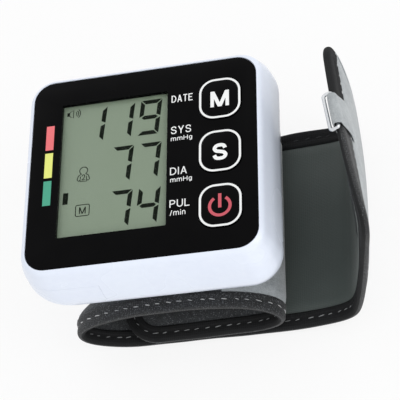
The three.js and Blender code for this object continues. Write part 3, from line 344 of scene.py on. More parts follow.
# Shrink sleeve over a steel can: satin blue grey.
CELL_SLEEVE = Finish(
    "shrunk_blue_grey_sleeve", MOULDED, "#5F7080", "#54636F", 0.3, 4, 0.006, 1.5,
    sockets=(("Coat Weight", 0.4), ("Coat Roughness", 0.15)),
)

# The CAD nodes that stay in view.
NODE_FINISHES: dict[str, Finish] = {
    node: finish
    for finish, nodes in (
        (LCD_GLASS, "lcd_glass"),
        (CLEAR_PMMA, "display_window"),
        (GREEN_LAMINATE, "main_board"),
        (WHITE_ABS, "battery_tray"),
        (CELL_SLEEVE, "outer_cell inner_cell"),
        (GREY_ABS, "lcd_frame pressure_sensor pump_head air_manifold air_port cuff_stiffener"),
        (DARK_ABS, "controller_chip storage_capacitor buzzer release_valve cuff_mount_plate"),
        (DARK_SILICONE, "elastomer_connector rubber_keypad power_plunger set_plunger memory_plunger"),
        (DARK_SILICONE, "pump_diaphragm"),
        (CLEAR_SILICONE, "pump_hose valve_hose sensor_hose port_hose"),
        (PLATED_STEEL, "pump_motor pump_crank valve_plunger bridge_contact outer_contact inner_contact"),
        (PLATED_STEEL, "case_screw_1 case_screw_2 case_screw_3 case_screw_4 board_screw_1 board_screw_2"),
        (PLATED_STEEL, "mount_screw_1 mount_screw_2"),
    )
    for node in nodes.split()
}


# Meshes


def add_object(name: str, data: bpy.types.ID) -> Piece:
    """Adds an object to the scene."""
    made = bpy.data.objects.new(name, data)
    bpy.context.scene.collection.objects.link(made)
    return made


@dataclass
class Draft:
    """Points in millimetres and faces of one piece, before it becomes an object.

    cloth holds each point's place on the flat cloth, where the piece is cloth.
    """

    points: list[Point3] = field(default_factory=list)
    faces: list[tuple[int, ...]] = field(default_factory=list)
    cloth: list[Point3] = field(default_factory=list)
    marks: list[int] = field(default_factory=list)

    def polygon(self, points: Sequence[Point3], mark: int = 0) -> None:
        """Adds one face with its own points.

        Args:
            points: The face's corners.
            mark: The number of its finish.
        """
        first = len(self.points)
        self.points.extend(points)
        self.faces.append(tuple(range(first, first + len(points))))
        self.marks.append(mark)

    def loft(
        self,
        rings: Sequence[Sequence[Point3]],
        cloth: Sequence[Sequence[Point3]] | None = None,
        closed: bool = False,
        mark: int = 0,
    ) -> None:
        """Adds a skin over rings of points, with a face at each end where it is open.

        Args:
            rings: Rings with as many points each, in order.
            cloth: Each point's place on the flat cloth.
            closed: Whether the last ring meets the first.
            mark: The number of its finish.
        """
        first, count = len(self.points), len(rings[0])
        for ring in rings:
            self.points.extend(tuple(map(float, p)) for p in ring)
        for ring in cloth or ():
            self.cloth.extend(tuple(map(float, p)) for p in ring)
        spans = len(rings) if closed else len(rings) - 1
        for i in range(spans):
            here, there = first + i * count, first + (i + 1) % len(rings) * count
            for j in range(count):
                k = (j + 1) % count
                self.faces.append((here + j, here + k, there + k, there + j))
        if not closed:
            last = first + (len(rings) - 1) * count
            self.faces.append(tuple(range(first + count - 1, first - 1, -1)))
            self.faces.append(tuple(range(last, last + count)))
        self.marks.extend([mark] * (len(self.faces) - len(self.marks)))

    def mark_where(self, within: Callable[[float, float, float], bool], mark: int = 1) -> None:
        """Gives a finish to the faces whose middle on the flat cloth meets a test."""
        for k, face in enumerate(self.faces):
            if within(*np.mean([self.cloth[i] for i in face], axis=0)):
                self.marks[k] = mark

    def build(self, name: str, finishes: Sequence[Finish], sharp: float = 35, flat: bool = False) -> Piece:
        """Makes the object.

        Args:
            name: The piece's name.
            finishes: Its finishes, by the faces' marks.
            sharp: The angle in degrees past which an edge is shaded sharp.
            flat: Whether the piece is flat art, whose faces keep their side.

        Returns:
            The object, at the origin.
        """
        mesh = bpy.data.meshes.new(name)
        scaled = [(x * MM, y * MM, z * MM) for x, y, z in self.points]
        mesh.from_pydata(scaled, [], self.faces)
        if self.cloth:
            layer = mesh.attributes.new("cloth", "FLOAT_VECTOR", "POINT")
            layer.data.foreach_set("vector", np.array(self.cloth, np.float32).ravel() * MM)
        piece = add_object(name, mesh)
        if not flat:
            face_outwards(mesh)
        dress(piece, finishes, sharp)
        mesh.polygons.foreach_set("material_index", self.marks)
        return piece


def skin(
    rings: Sequence[Sequence[Point3]], cloth: Sequence[Sequence[Point3]] | None = None, closed: bool = False
) -> Draft:
    """A shape that is one skin over rings of points, as in Draft.loft."""
    draft = Draft()
    draft.loft(rings, cloth, closed)
    return draft


def face_outwards(mesh: bpy.types.Mesh) -> None:
    """Turns a closed mesh's faces to point outwards.

    Args:
        mesh: The closed mesh.
    """
    work = bmesh.new()
    work.from_mesh(mesh)
    bmesh.ops.recalc_face_normals(work, faces=work.faces)
    if work.calc_volume(signed=True) < 0:
        bmesh.ops.reverse_faces(work, faces=work.faces)
    work.to_mesh(mesh)
    work.free()


def dress(piece: Piece, finishes: Sequence[Finish], sharp: float = 35) -> None:
    """Gives a piece its materials and smooth shading.

    Args:
        piece: The piece.
        finishes: Its finishes, by the faces' marks.
        sharp: The least angle of a sharp edge, in degrees.
    """
    piece.data.materials.clear()
    for finish in finishes:
        piece.data.materials.append(finish.build())
    piece.data.shade_smooth()
    piece.data.set_sharp_from_angle(angle=radians(sharp))


def label(piece: Piece, nodes: Sequence[str], moves: str) -> None:
    """Hides the CAD nodes a piece stands for and reports how it moves.

    Args:
        piece: The piece.
        nodes: The CAD nodes.
        moves: What the report says of its motion.
    """
    if nodes:
        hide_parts(*nodes)
    log.info("%s %s, %d faces", piece.name, moves, len(piece.data.polygons))


def settle(piece: Piece, body: str, slot: str, *nodes: str) -> None:
    """Makes a piece ride on a body and hides the CAD nodes it stands for."""
    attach(piece, body)
    label(piece, nodes, f"rides on {body}")


def carve(piece: Piece, tools: Sequence[Draft], operation: str = "DIFFERENCE") -> None:
    """Cuts, joins or keeps what is common with each tool, and removes the tools.

    Args:
        piece: The solid that is changed.
        tools: The tools' shapes.
        operation: DIFFERENCE, UNION or INTERSECT.
    """
    made = [tool.build(f"{piece.name}_tool_{k}", ()) for k, tool in enumerate(tools)]
    for tool in made:
        step = piece.modifiers.new(tool.name, "BOOLEAN")
        step.operation, step.solver, step.object = operation, "EXACT", tool
    bpy.context.view_layer.update()
    graph = bpy.context.evaluated_depsgraph_get()
    cut = bpy.data.meshes.new_from_object(piece.evaluated_get(graph))
    piece.modifiers.clear()
    old, piece.data = piece.data, cut
    bpy.data.meshes.remove(old)
    for tool in made:
        # A mesh takes its object with it.
        bpy.data.meshes.remove(tool.data)


def rounded_rectangle(
    half: Point2, radius: float, middle: Point2 = (0, 0), steps: int = 14, right: float | None = None
) -> list[Point2]:
    """The outline of a rectangle with round corners, anticlockwise.

    Args:
        half: Half its width and length.
        radius: The corners' radius.
        middle: Its middle.
        steps: The number of sides of one corner.
        right: The right corners' radius, where it differs.

    Returns:
        The outline's points.
    """
    outline = []
    for quarter, (sx, sy) in enumerate(((1, 1), (-1, 1), (-1, -1), (1, -1))):
        r = radius if sx < 0 or right is None else right
        for i in range(steps + 1):
            angle = (quarter + i / steps) * pi / 2
            x = middle[0] + sx * (half[0] - r) + r * cos(angle)
            outline.append((x, middle[1] + sy * (half[1] - r) + r * sin(angle)))
    return outline


def raised(outline: Sequence[Point2], depth: float) -> list[Point3]:
    """An outline at a depth below the panel's face."""
    return [(x, y, PANEL_HEIGHT - depth) for x, y in outline]


def slab(outline: Sequence[Point2], top: float, bottom: float) -> Draft:
    """A plate with an outline between two depths below the panel's face."""
    return skin([raised(outline, bottom), raised(outline, top)])


def stepped(half: Point2, corner: float, levels: Sequence[Point2], middle: Point2 = (0, 0)) -> Draft:
    """A solid with round corners whose outline changes with its depth.

    Args:
        half: Half its width and length.
        corner: Its corners' radius.
        levels: The depth of each level below the panel's face, and how much its outline is grown.
        middle: Its middle.

    Returns:
        The solid's shape.
    """
    return skin(
        [raised(rounded_rectangle((half[0] + g, half[1] + g), corner + g, middle), d) for d, g in levels]
    )


def circle(radius: float, middle: Point2, sides: int = 32) -> list[Point2]:
    """The outline of a circle, anticlockwise."""
    angles = [2 * pi * k / sides for k in range(sides)]
    return [(middle[0] + radius * cos(a), middle[1] + radius * sin(a)) for a in angles]


def post(radius: float, top: float, bottom: float, place: Point2) -> Draft:
    """An upright cylinder between two depths below the panel's face."""
    return slab(circle(radius, place), top, bottom)


def block(low: Point3, high: Point3) -> Draft:
    """A box between two corners, its heights being depths below the panel's face."""
    outline = [(high[0], high[1]), (low[0], high[1]), (low[0], low[1]), (high[0], low[1])]
    return slab(outline, low[2], high[2])


def smooth_curve(knots: Array, steps: int) -> Array:
    """A smooth curve through knots.

    Args:
        knots: One row of values for each knot.
        steps: The number of steps between two knots.

    Returns:
        One row of values for each point of the curve.
    """
    ends = np.vstack([2 * knots[0] - knots[1], knots, 2 * knots[-1] - knots[-2]])
    gaps = np.sqrt(np.linalg.norm(np.diff(ends, axis=0), axis=1))
    times = np.concatenate([[0], np.cumsum(gaps)])

    def mixed(t: float, start: float, end: float, first: Array, second: Array) -> Array:
        """A point at a time between two points and their times."""
        return ((end - t) * first + (t - start) * second) / (end - start)

    rows = []
    for k in range(1, len(ends) - 2):
        at, p = times[k - 1 : k + 3], ends[k - 1 : k + 3]
        last = k == len(ends) - 3
        for t in np.linspace(at[1], at[2], steps + 1)[: steps + last]:
            a = [mixed(t, at[i], at[i + 1], p[i], p[i + 1]) for i in range(3)]
            b = [mixed(t, at[i], at[i + 2], a[i], a[i + 1]) for i in range(2)]
            rows.append(mixed(t, at[1], at[2], b[0], b[1]))
    return np.array(rows)


# Housing


@dataclass(frozen=True)
class Face:
    """Sizes on the display's side that the case, the panel and the buttons share."""

    half: Point2 = (32.0, 29.6)
    corner: float = 5.75
    window_middle: Point2 = (-8.2, 0.5)
    window_half: Point2 = (15.3, 21.1)
    cap_half: Point2 = (5.95, 6.5)
    cap_corner: float = 4.5
    caps: tuple[tuple[str, Point2], ...] = (
        ("power", (22.0, -16.7)), ("set", (22.0, 0.0)), ("memory", (22.0, 16.7)),
    )

    def openings(self, window_gap: float, window_corner: float, cap_gap: float, bottom: float) -> list[Draft]:
        """The tools that cut a plate for the display and the three caps.

        Args:
            window_gap: How far the window's opening stands off the window.
            window_corner: The radius of its corners.
            cap_gap: How far a cap's opening stands off the cap.
            bottom: The depth that the tools reach.

        Returns:
            The tools' shapes.
        """
        x, y = self.window_half
        outlines = [rounded_rectangle((x + window_gap, y + window_gap), window_corner, self.window_middle)]
        size = self.cap_half[0] + cap_gap, self.cap_half[1] + cap_gap
        outlines += [rounded_rectangle(size, self.cap_corner + cap_gap, place) for _, place in self.caps]
        return [slab(outline, -PAST, bottom) for outline in outlines]


@dataclass
class Housing:
    """White case: front shell, back shell and the sliding battery door."""

    face: Face
    # The corners' radius at the widest line, at the left and at the right.
    wide_corners: Point2 = (11.5, 8.4)
    depth: float = 26.3
    flare: float = 3.9
    back_inset: float = 9.0
    wall: float = 2.0
    pocket_depth: float = 1.5
    deck_bottom: float = 3.0
    seam_depth: float = 18.0
    floor_depth: float = 24.3
    door_top: float = 6.6
    door_right: float = -13.0
    seam: float = 0.05
    # Each straight side of a level's outline is divided, so that the cut shells shade evenly.
    straight_pieces: int = 14
    board_top: float = 6.6
    # Middles of the screws, and radii of their posts, holes and heads.
    case_screws: Points = ((-4, -26.6), (-4, 26.6), (24, -26.6), (24, 26.6))
    board_screws: Points = ((-28, -20), (11.8, 20))
    mount_screws: Points = ((-2, -19), (-2, 19))
    case_post: float = 2.5
    case_hole: float = 1.3
    case_head: float = 2.3
    board_post: float = 1.9
    board_hole: float = 1.15
    mount_hole: float = 1.1
    # Depths where the holes and the heads' hollows start, and where the lower posts end.
    case_hole_top: float = 8.1
    board_hole_top: float = 4.4
    case_head_top: float = 19.4
    case_post_bottom: float = 21.4
    # How far the posts start inside the deck, and stay off the seam and the board.
    post_root: float = 0.7
    post_gap: float = 0.15
    board_gap: float = 0.3
    air_port: Point2 = (6.0, 4.0)
    port_radius: float = 2.1
    # The motor's middle across, rear end, front end and axis' depth, and the radius of its hollow.
    motor: Point4 = (20, -21, -4, 17)
    motor_hollow: float = 7.3
    # Half the width of its two cradle walls, half their thickness, their height and their place from its ends.
    cradle: Point4 = (6, 0.75, 4, 3)
    # Share of the depth, of the flare, of the back's inset and of the corner's growth.
    shares: tuple[Point4, ...] = (
        (0.04, 0.36, 0, 0.25), (0.12, 0.56, 0, 0.45), (0.235, 0.8, 0, 0.7), (0.355, 0.93, 0, 0.9),
        (0.47, 1, 0, 1), (0.59, 0.88, 0, 1), (0.71, 0.53, 0, 1), (0.8, 0, 0.08, 0.95),
        (0.88, 0, 0.28, 0.85), (0.95, 0, 0.6, 0.75), (1, 0, 1, 0.6),
    )

    def __post_init__(self) -> None:
        """Works out the side's smooth curve: depth, growth beyond the panel, left and right corner."""
        corner = self.face.corner
        rim = ((0.0, 0.34, 0.3), (0.07, 0.52, 0.5), (0.25, 0.72, 0.65))
        knots = [(depth, grown, corner + more, corner + more) for depth, grown, more in rim]
        for depth, flare, inset, growth in self.shares:
            grown = flare * self.flare - inset * self.back_inset
            left, right = (corner + growth * (wide - corner) for wide in self.wide_corners)
            knots.append((depth * self.depth, grown, left, right))
        self.side = smooth_curve(np.array(knots), 5)

    def outline(self, depth: float, drawn_in: float = 0.0) -> list[Point2]:
        """The case's outline at a depth, drawn in by a wall.

        Args:
            depth: The depth below the panel's face.
            drawn_in: The wall's thickness.

        Returns:
            The outline's points, in order.
        """
        grown, left, right = (
            float(np.interp(depth, self.side[:, 0], self.side[:, k])) - drawn_in for k in (1, 2, 3)
        )
        half = self.face.half
        corners = rounded_rectangle((half[0] + grown, half[1] + grown), left, right=right)
        outline = []
        for a, b in zip(corners, corners[1:] + corners[:1]):
            pieces = self.straight_pieces if dist(a, b) > self.straight_pieces else 1
            outline += [
                (a[0] + (b[0] - a[0]) * k / pieces, a[1] + (b[1] - a[1]) * k / pieces) for k in range(pieces)
            ]
        return outline

    def body(self, top: float, bottom: float, drawn_in: float = 0.0) -> Draft:
        """The case's body between two depths, drawn in by a wall."""
        between = [d for d in self.side[:, 0] if top + 0.05 < d < bottom - 0.05]
        return skin([raised(self.outline(d, drawn_in), d) for d in (bottom, *reversed(between), top)])

    def door_space(self) -> Draft:
        """The corner of space that the battery door fills, with its seams."""
        gap = self.seam / 2
        return block((-AWAY, -AWAY, self.door_top - gap), (self.door_right + gap, AWAY, AWAY))

    def pocket(self) -> Draft:
        """The hollow that takes the panel, with a small round at its mouth."""
        levels = ((self.pocket_depth, 0.14), (0.22, 0.14), (0.08, 0.2), (0.0, 0.3), (-1.0, 1.3))
        return stepped(self.face.half, self.face.corner, levels)

    def shell(
        self, name: str, body: str, outside: Draft, hollow: Sequence[Draft], added: Sequence[Draft] = (),
        holes: Sequence[Draft] = (),
    ) -> None:
        """Makes one part of the case.

        Args:
            name: The CAD node it stands for.
            body: The body it rides on.
            outside: Its shape before it is hollowed.
            hollow: What is taken out of it.
            added: What is added inside it.
            holes: What is cut at the end.
        """
        shell = outside.build(f"{name}_skin", ())
        carve(shell, hollow)
        if added:
            carve(shell, added, "UNION")
        if holes:
            carve(shell, holes)
        dress(shell, [WHITE_ABS], 32)
        settle(shell, body, "white_shell", name)

    def front_shell(self) -> None:
        """Walls, panel pocket and deck, with the posts that take the screws."""
        outside = self.body(0, self.seam_depth - self.seam / 2)
        hollow = self.body(self.deck_bottom, self.seam_depth + PAST, self.wall)
        root, seam_side = self.deck_bottom - self.post_root, self.seam_depth - self.post_gap
        posts = [post(self.case_post, root, seam_side, p) for p in self.case_screws]
        posts += [post(self.board_post, root, self.board_top - self.board_gap, p) for p in self.board_screws]
        holes = [self.pocket(), *self.face.openings(1.5, 1.5, 0.3, self.deck_bottom + PAST)]
        for radius, top, bottom, places in (
            (self.case_hole, self.case_hole_top, self.seam_depth, self.case_screws),
            (self.board_hole, self.board_hole_top, self.board_top, self.board_screws),
        ):
            holes += [post(radius, top, bottom + PAST, p) for p in places]
        self.shell("front_shell", "monitor", outside, [hollow], posts, [*holes, self.door_space()])

    def back_shell(self) -> None:
        """Floor and lower walls, with screw bosses, pump cradle and holes."""
        outside = self.body(self.seam_depth + self.seam / 2, self.depth)
        hollow = self.body(self.seam_depth - PAST, self.floor_depth, self.wall)
        top = self.seam_depth + self.post_gap
        added = [post(self.case_post, top, self.case_post_bottom, p) for p in self.case_screws]
        x, rear, front, axis = self.motor
        wide, thick, high, inside = self.cradle
        for y in (rear + inside, front - inside):
            low = x - wide, y - thick, self.floor_depth - high
            added.append(block(low, (x + wide, y + thick, self.floor_depth + PAST)))
        ring = circle(self.motor_hollow, (x, PANEL_HEIGHT - axis), 48)
        drum = skin([[(a, y, b) for a, b in ring] for y in (rear - PAST, front)])
        holes = [self.door_space(), drum]
        for radius, top, bottom, places in (
            (self.port_radius, self.floor_depth - PAST, self.depth + PAST, [self.air_port]),
            (self.mount_hole, self.floor_depth - PAST, self.depth + PAST, self.mount_screws),
            (self.case_hole, self.seam_depth - PAST, self.depth, self.case_screws),
            (self.case_head, self.case_head_top, self.depth + PAST, self.case_screws),
        ):
            holes += [post(radius, top, bottom, p) for p in places]
        self.shell("back_shell", "monitor", outside, [hollow], added, holes)

    def battery_door(self) -> None:
        """Walls and floor of the lower left end."""
        outside = self.body(self.door_top + self.seam / 2, self.depth)
        cavity = self.body(self.door_top - PAST, self.floor_depth, self.wall)
        beyond = block((self.door_right - self.seam / 2, -AWAY, 0), (AWAY, AWAY, AWAY))
        self.shell("battery_door", "battery_door", outside, [cavity, beyond])

    def door_grip(self) -> None:
        """Five raised ribs on the door's end, where a thumb pushes."""
        first, pitch, count = 10.2, 1.5, 5
        half_length, half_width, height = 7.0, 0.34, 0.3
        draft = Draft()
        for k in range(count):
            rings = []
            for y in np.linspace(-half_length, half_length, 15):
                # Each rib falls to nothing at a hair beyond its ends.
                high = height * sqrt(max(1 - (y / (half_length + 0.01)) ** 4, 0))
                ring = []
                for a in np.linspace(0, 2 * pi, 10, endpoint=False):
                    d = first + pitch * k + half_width * cos(a)
                    x = -self.face.half[0] - float(np.interp(d, self.side[:, 0], self.side[:, 1]))
                    ring.append((x - high * sin(a), y, PANEL_HEIGHT - d))
                rings.append(ring)
            draft.loft(rings)
        settle(draft.build("door_grip_ribs", [WHITE_ABS], 60), "battery_door", "white_shell")

    def build(self) -> None:
        """Builds the case."""
        self.front_shell()
        self.back_shell()
        self.battery_door()
        self.door_grip()


# Panel and display


def oval(
    left: float, right: float, low: float, high: float, start: float, end: float, steps: int = 12
) -> Points:
    """Points of an oval in a box, between two angles in degrees."""
    turns = np.radians(np.linspace(start, end, steps + 1))
    x, y, across, up = (left + right) / 2, (low + high) / 2, (right - left) / 2, (high - low) / 2
    return tuple((x + across * cos(t), y + up * sin(t)) for t in turns)


def arc(middle: Point2, radius: float, start: float, end: float, steps: int) -> Points:
    """Points of an arc between two angles in degrees."""
    x, y = middle
    return oval(x - radius, x + radius, y - radius, y + radius, start, end, steps)


def flow(*knots: Point2) -> Points:
    """Points of a smooth curve through knots."""
    return tuple((float(x), float(y)) for x, y in smooth_curve(np.array(knots), 4))


# Plain upright letters, drawn with one pen: each one's width as a share of its height, and its strokes in
# a box from 0 to 1, with the foot at 0 and a capital's top at 1.
FOOT, SPINE, TOP, RIGHT_STEM = ((0, 0), (1, 0)), ((0, 0), (0, 1)), ((0, 1), (1, 1)), ((1, 0), (1, 1))
LETTERS: dict[str, tuple[float, tuple[Points, ...]]] = {
    "A": (0.7, (((0, 0), (0.5, 1)), ((1, 0), (0.5, 1)), ((0.2, 0.3), (0.8, 0.3)))),
    "D": (0.7, (SPINE, ((0, 1), (0.4, 1), *oval(-0.2, 1, 0, 1, 90, -90), (0.4, 0), (0, 0)))),
    "E": (0.62, (SPINE, TOP, ((0, 0.52), (0.9, 0.52)), FOOT)),
    "H": (0.68, (SPINE, RIGHT_STEM, ((0, 0.52), (1, 0.52)))),
    "I": (0.12, (((0.5, 0), (0.5, 1)),)),
    "L": (0.56, (SPINE, FOOT)),
    "M": (0.84, (SPINE, RIGHT_STEM, ((0, 1), (0.5, 0)), ((1, 1), (0.5, 0)))),
    "P": (0.64, (SPINE, ((0, 1), (0.5, 1), *oval(0, 1, 0.46, 1, 90, -90), (0.5, 0.46), (0, 0.46)))),
    "S": (0.64, (flow(
        (0.96, 0.75), (0.83, 0.94), (0.5, 1), (0.15, 0.93), (0.02, 0.75), (0.17, 0.58), (0.5, 0.51),
        (0.85, 0.42), (1, 0.24), (0.85, 0.06), (0.5, 0), (0.14, 0.06), (0, 0.26),
    ),)),
    "T": (0.62, (((0.5, 0), (0.5, 1)), TOP)),
    "U": (0.68, (((0, 1), *oval(0, 1, 0, 0.7, 180, 360), (1, 1)),)),
    "Y": (0.68, (((0, 1), (0.5, 0.42)), ((1, 1), (0.5, 0.42)), ((0.5, 0), (0.5, 0.46)))),
    "g": (0.52, (
        oval(0, 1, 0, 0.74, 0, 360), ((1, 0.74), (1, -0.05), *flow((0.9, -0.22), (0.5, -0.3), (0.1, -0.22))),
    )),
    "i": (0.12, (((0.5, 0), (0.5, 0.7)), ((0.5, 0.86), (0.5, 1)))),
    "m": (0.84, (
        ((0, 0), (0, 0.74)),
        (*flow((0, 0.5), (0.1, 0.68), (0.27, 0.74), (0.43, 0.68), (0.5, 0.5)), (0.5, 0)),
        (*flow((0.5, 0.5), (0.6, 0.68), (0.77, 0.74), (0.93, 0.68), (1, 0.5)), (1, 0)),
    )),
    "n": (0.5, (
        ((0, 0), (0, 0.74)), (*flow((0, 0.48), (0.2, 0.69), (0.5, 0.75), (0.85, 0.67), (1, 0.48)), (1, 0)),
    )),
    "/": (0.36, (((0, 0), (1, 1)),)),
    "2": (0.6, (
        flow((0, 0.73), (0.14, 0.93), (0.5, 1), (0.87, 0.92), (0.97, 0.71), (0.75, 0.42), (0.05, 0)), FOOT,
    )),
}


@dataclass
class FlatArt:
    """Flat printed or switched shapes on one plane, each a hair above the one before."""

    depth: float
    shift: Point2 = (0.0, 0.0)
    hair: float = 0.001
    draft: Draft = field(default_factory=Draft)
    layers: int = 0

    def shape(self, outline: Sequence[Point2], mark: int = 0) -> None:
        """Adds a filled convex shape, given anticlockwise."""
        dx, dy = self.shift
        height = PANEL_HEIGHT - self.depth + self.hair * self.layers
        self.draft.polygon([(x + dx, y + dy, height) for x, y in outline], mark)

    def stroke(self, path: Sequence[Point2], width: float, closed: bool = False, mark: int = 0) -> None:
        """Adds a line of even width along a path.

        Args:
            path: The middle of the line.
            width: The line's width.
            closed: Whether the line's ends meet.
            mark: The number of its finish.
        """
        count = len(path)
        sides = []
        for k, (x, y) in enumerate(path):
            before = path[k - 1] if closed or k else path[0]
            after = path[(k + 1) % count] if closed or k < count - 1 else path[-1]
            dx, dy = after[0] - before[0], after[1] - before[1]
            size = hypot(dx, dy)
            nx, ny = -dy / size * width / 2, dx / size * width / 2
            sides.append(((x + nx, y + ny), (x - nx, y - ny)))
        for k in range(count if closed else count - 1):
            (l0, r0), (l1, r1) = sides[k], sides[(k + 1) % count]
            self.shape([r0, r1, l1, l0], mark)

    def pen(self, path: Sequence[Point2], low: Point2, high: Point2, width: float, mark: int) -> None:
        """Adds one stroke of a letter, whose outer edges touch the letter's box.

        Args:
            path: The stroke in a box from 0 to 1.
            low: The letter's lower left corner.
            high: Its upper right corner.
            width: The pen's width.
            mark: The number of its finish.
        """
        half = width / 2
        (x0, y0), (x1, y1) = path[0], path[-1]
        size = np.array(high) - low
        if len(path) == 2 and x0 != x1 and y0 != y1:
            run = hypot((x1 - x0) * size[0], (y1 - y0) * size[1])
            slant = half * run / abs((y1 - y0) * size[1])
            (ax, ay), (bx, by) = (
                (low[0] + slant + x * (size[0] - 2 * slant), low[1] + y * size[1])
                for x, y in sorted(path, key=lambda p: p[1])
            )
            self.shape([(ax - slant, ay), (ax + slant, ay), (bx + slant, by), (bx - slant, by)], mark)
        else:
            points = np.array(path) * (size - width) + low + half
            for end, beside in ((0, 1), (-1, -2)):
                # A level or upright line that ends at the box's side runs on to touch it.
                way = points[end] - points[beside]
                axis = int(abs(way[1]) > TINY)
                if min(abs(way)) < TINY and path[end][axis] in (0, 1):
                    points[end] += way / np.linalg.norm(way) * half
            self.stroke([tuple(p) for p in points], width, mark=mark)
        self.layers += 1

    def words(self, text: str, low: Point2, high: Point2, width: float, mark: int = 0) -> None:
        """Adds lettering that fills a box from its foot line to its capitals' top.

        Args:
            text: What it says.
            low: The box's lower left corner.
            high: The box's upper right corner.
            width: The pen's width.
            mark: The number of its finish.
        """
        gap, tall = 0.16, high[1] - low[1]
        shares = [max(LETTERS[letter][0], width / tall) for letter in text]
        scale = (high[0] - low[0]) / (sum(shares) + gap * (len(text) - 1))
        x = low[0]
        for letter, share in zip(text, shares):
            end = x + share * scale
            for path in LETTERS[letter][1]:
                self.pen(path, (x, low[1]), (end, high[1]), width, mark)
            x = end + gap * scale

    def build(self, name: str, finishes: Sequence[Finish], body: str, slot: str) -> None:
        """Makes the art one object on a body."""
        settle(self.draft.build(name, finishes, flat=True), body, slot)


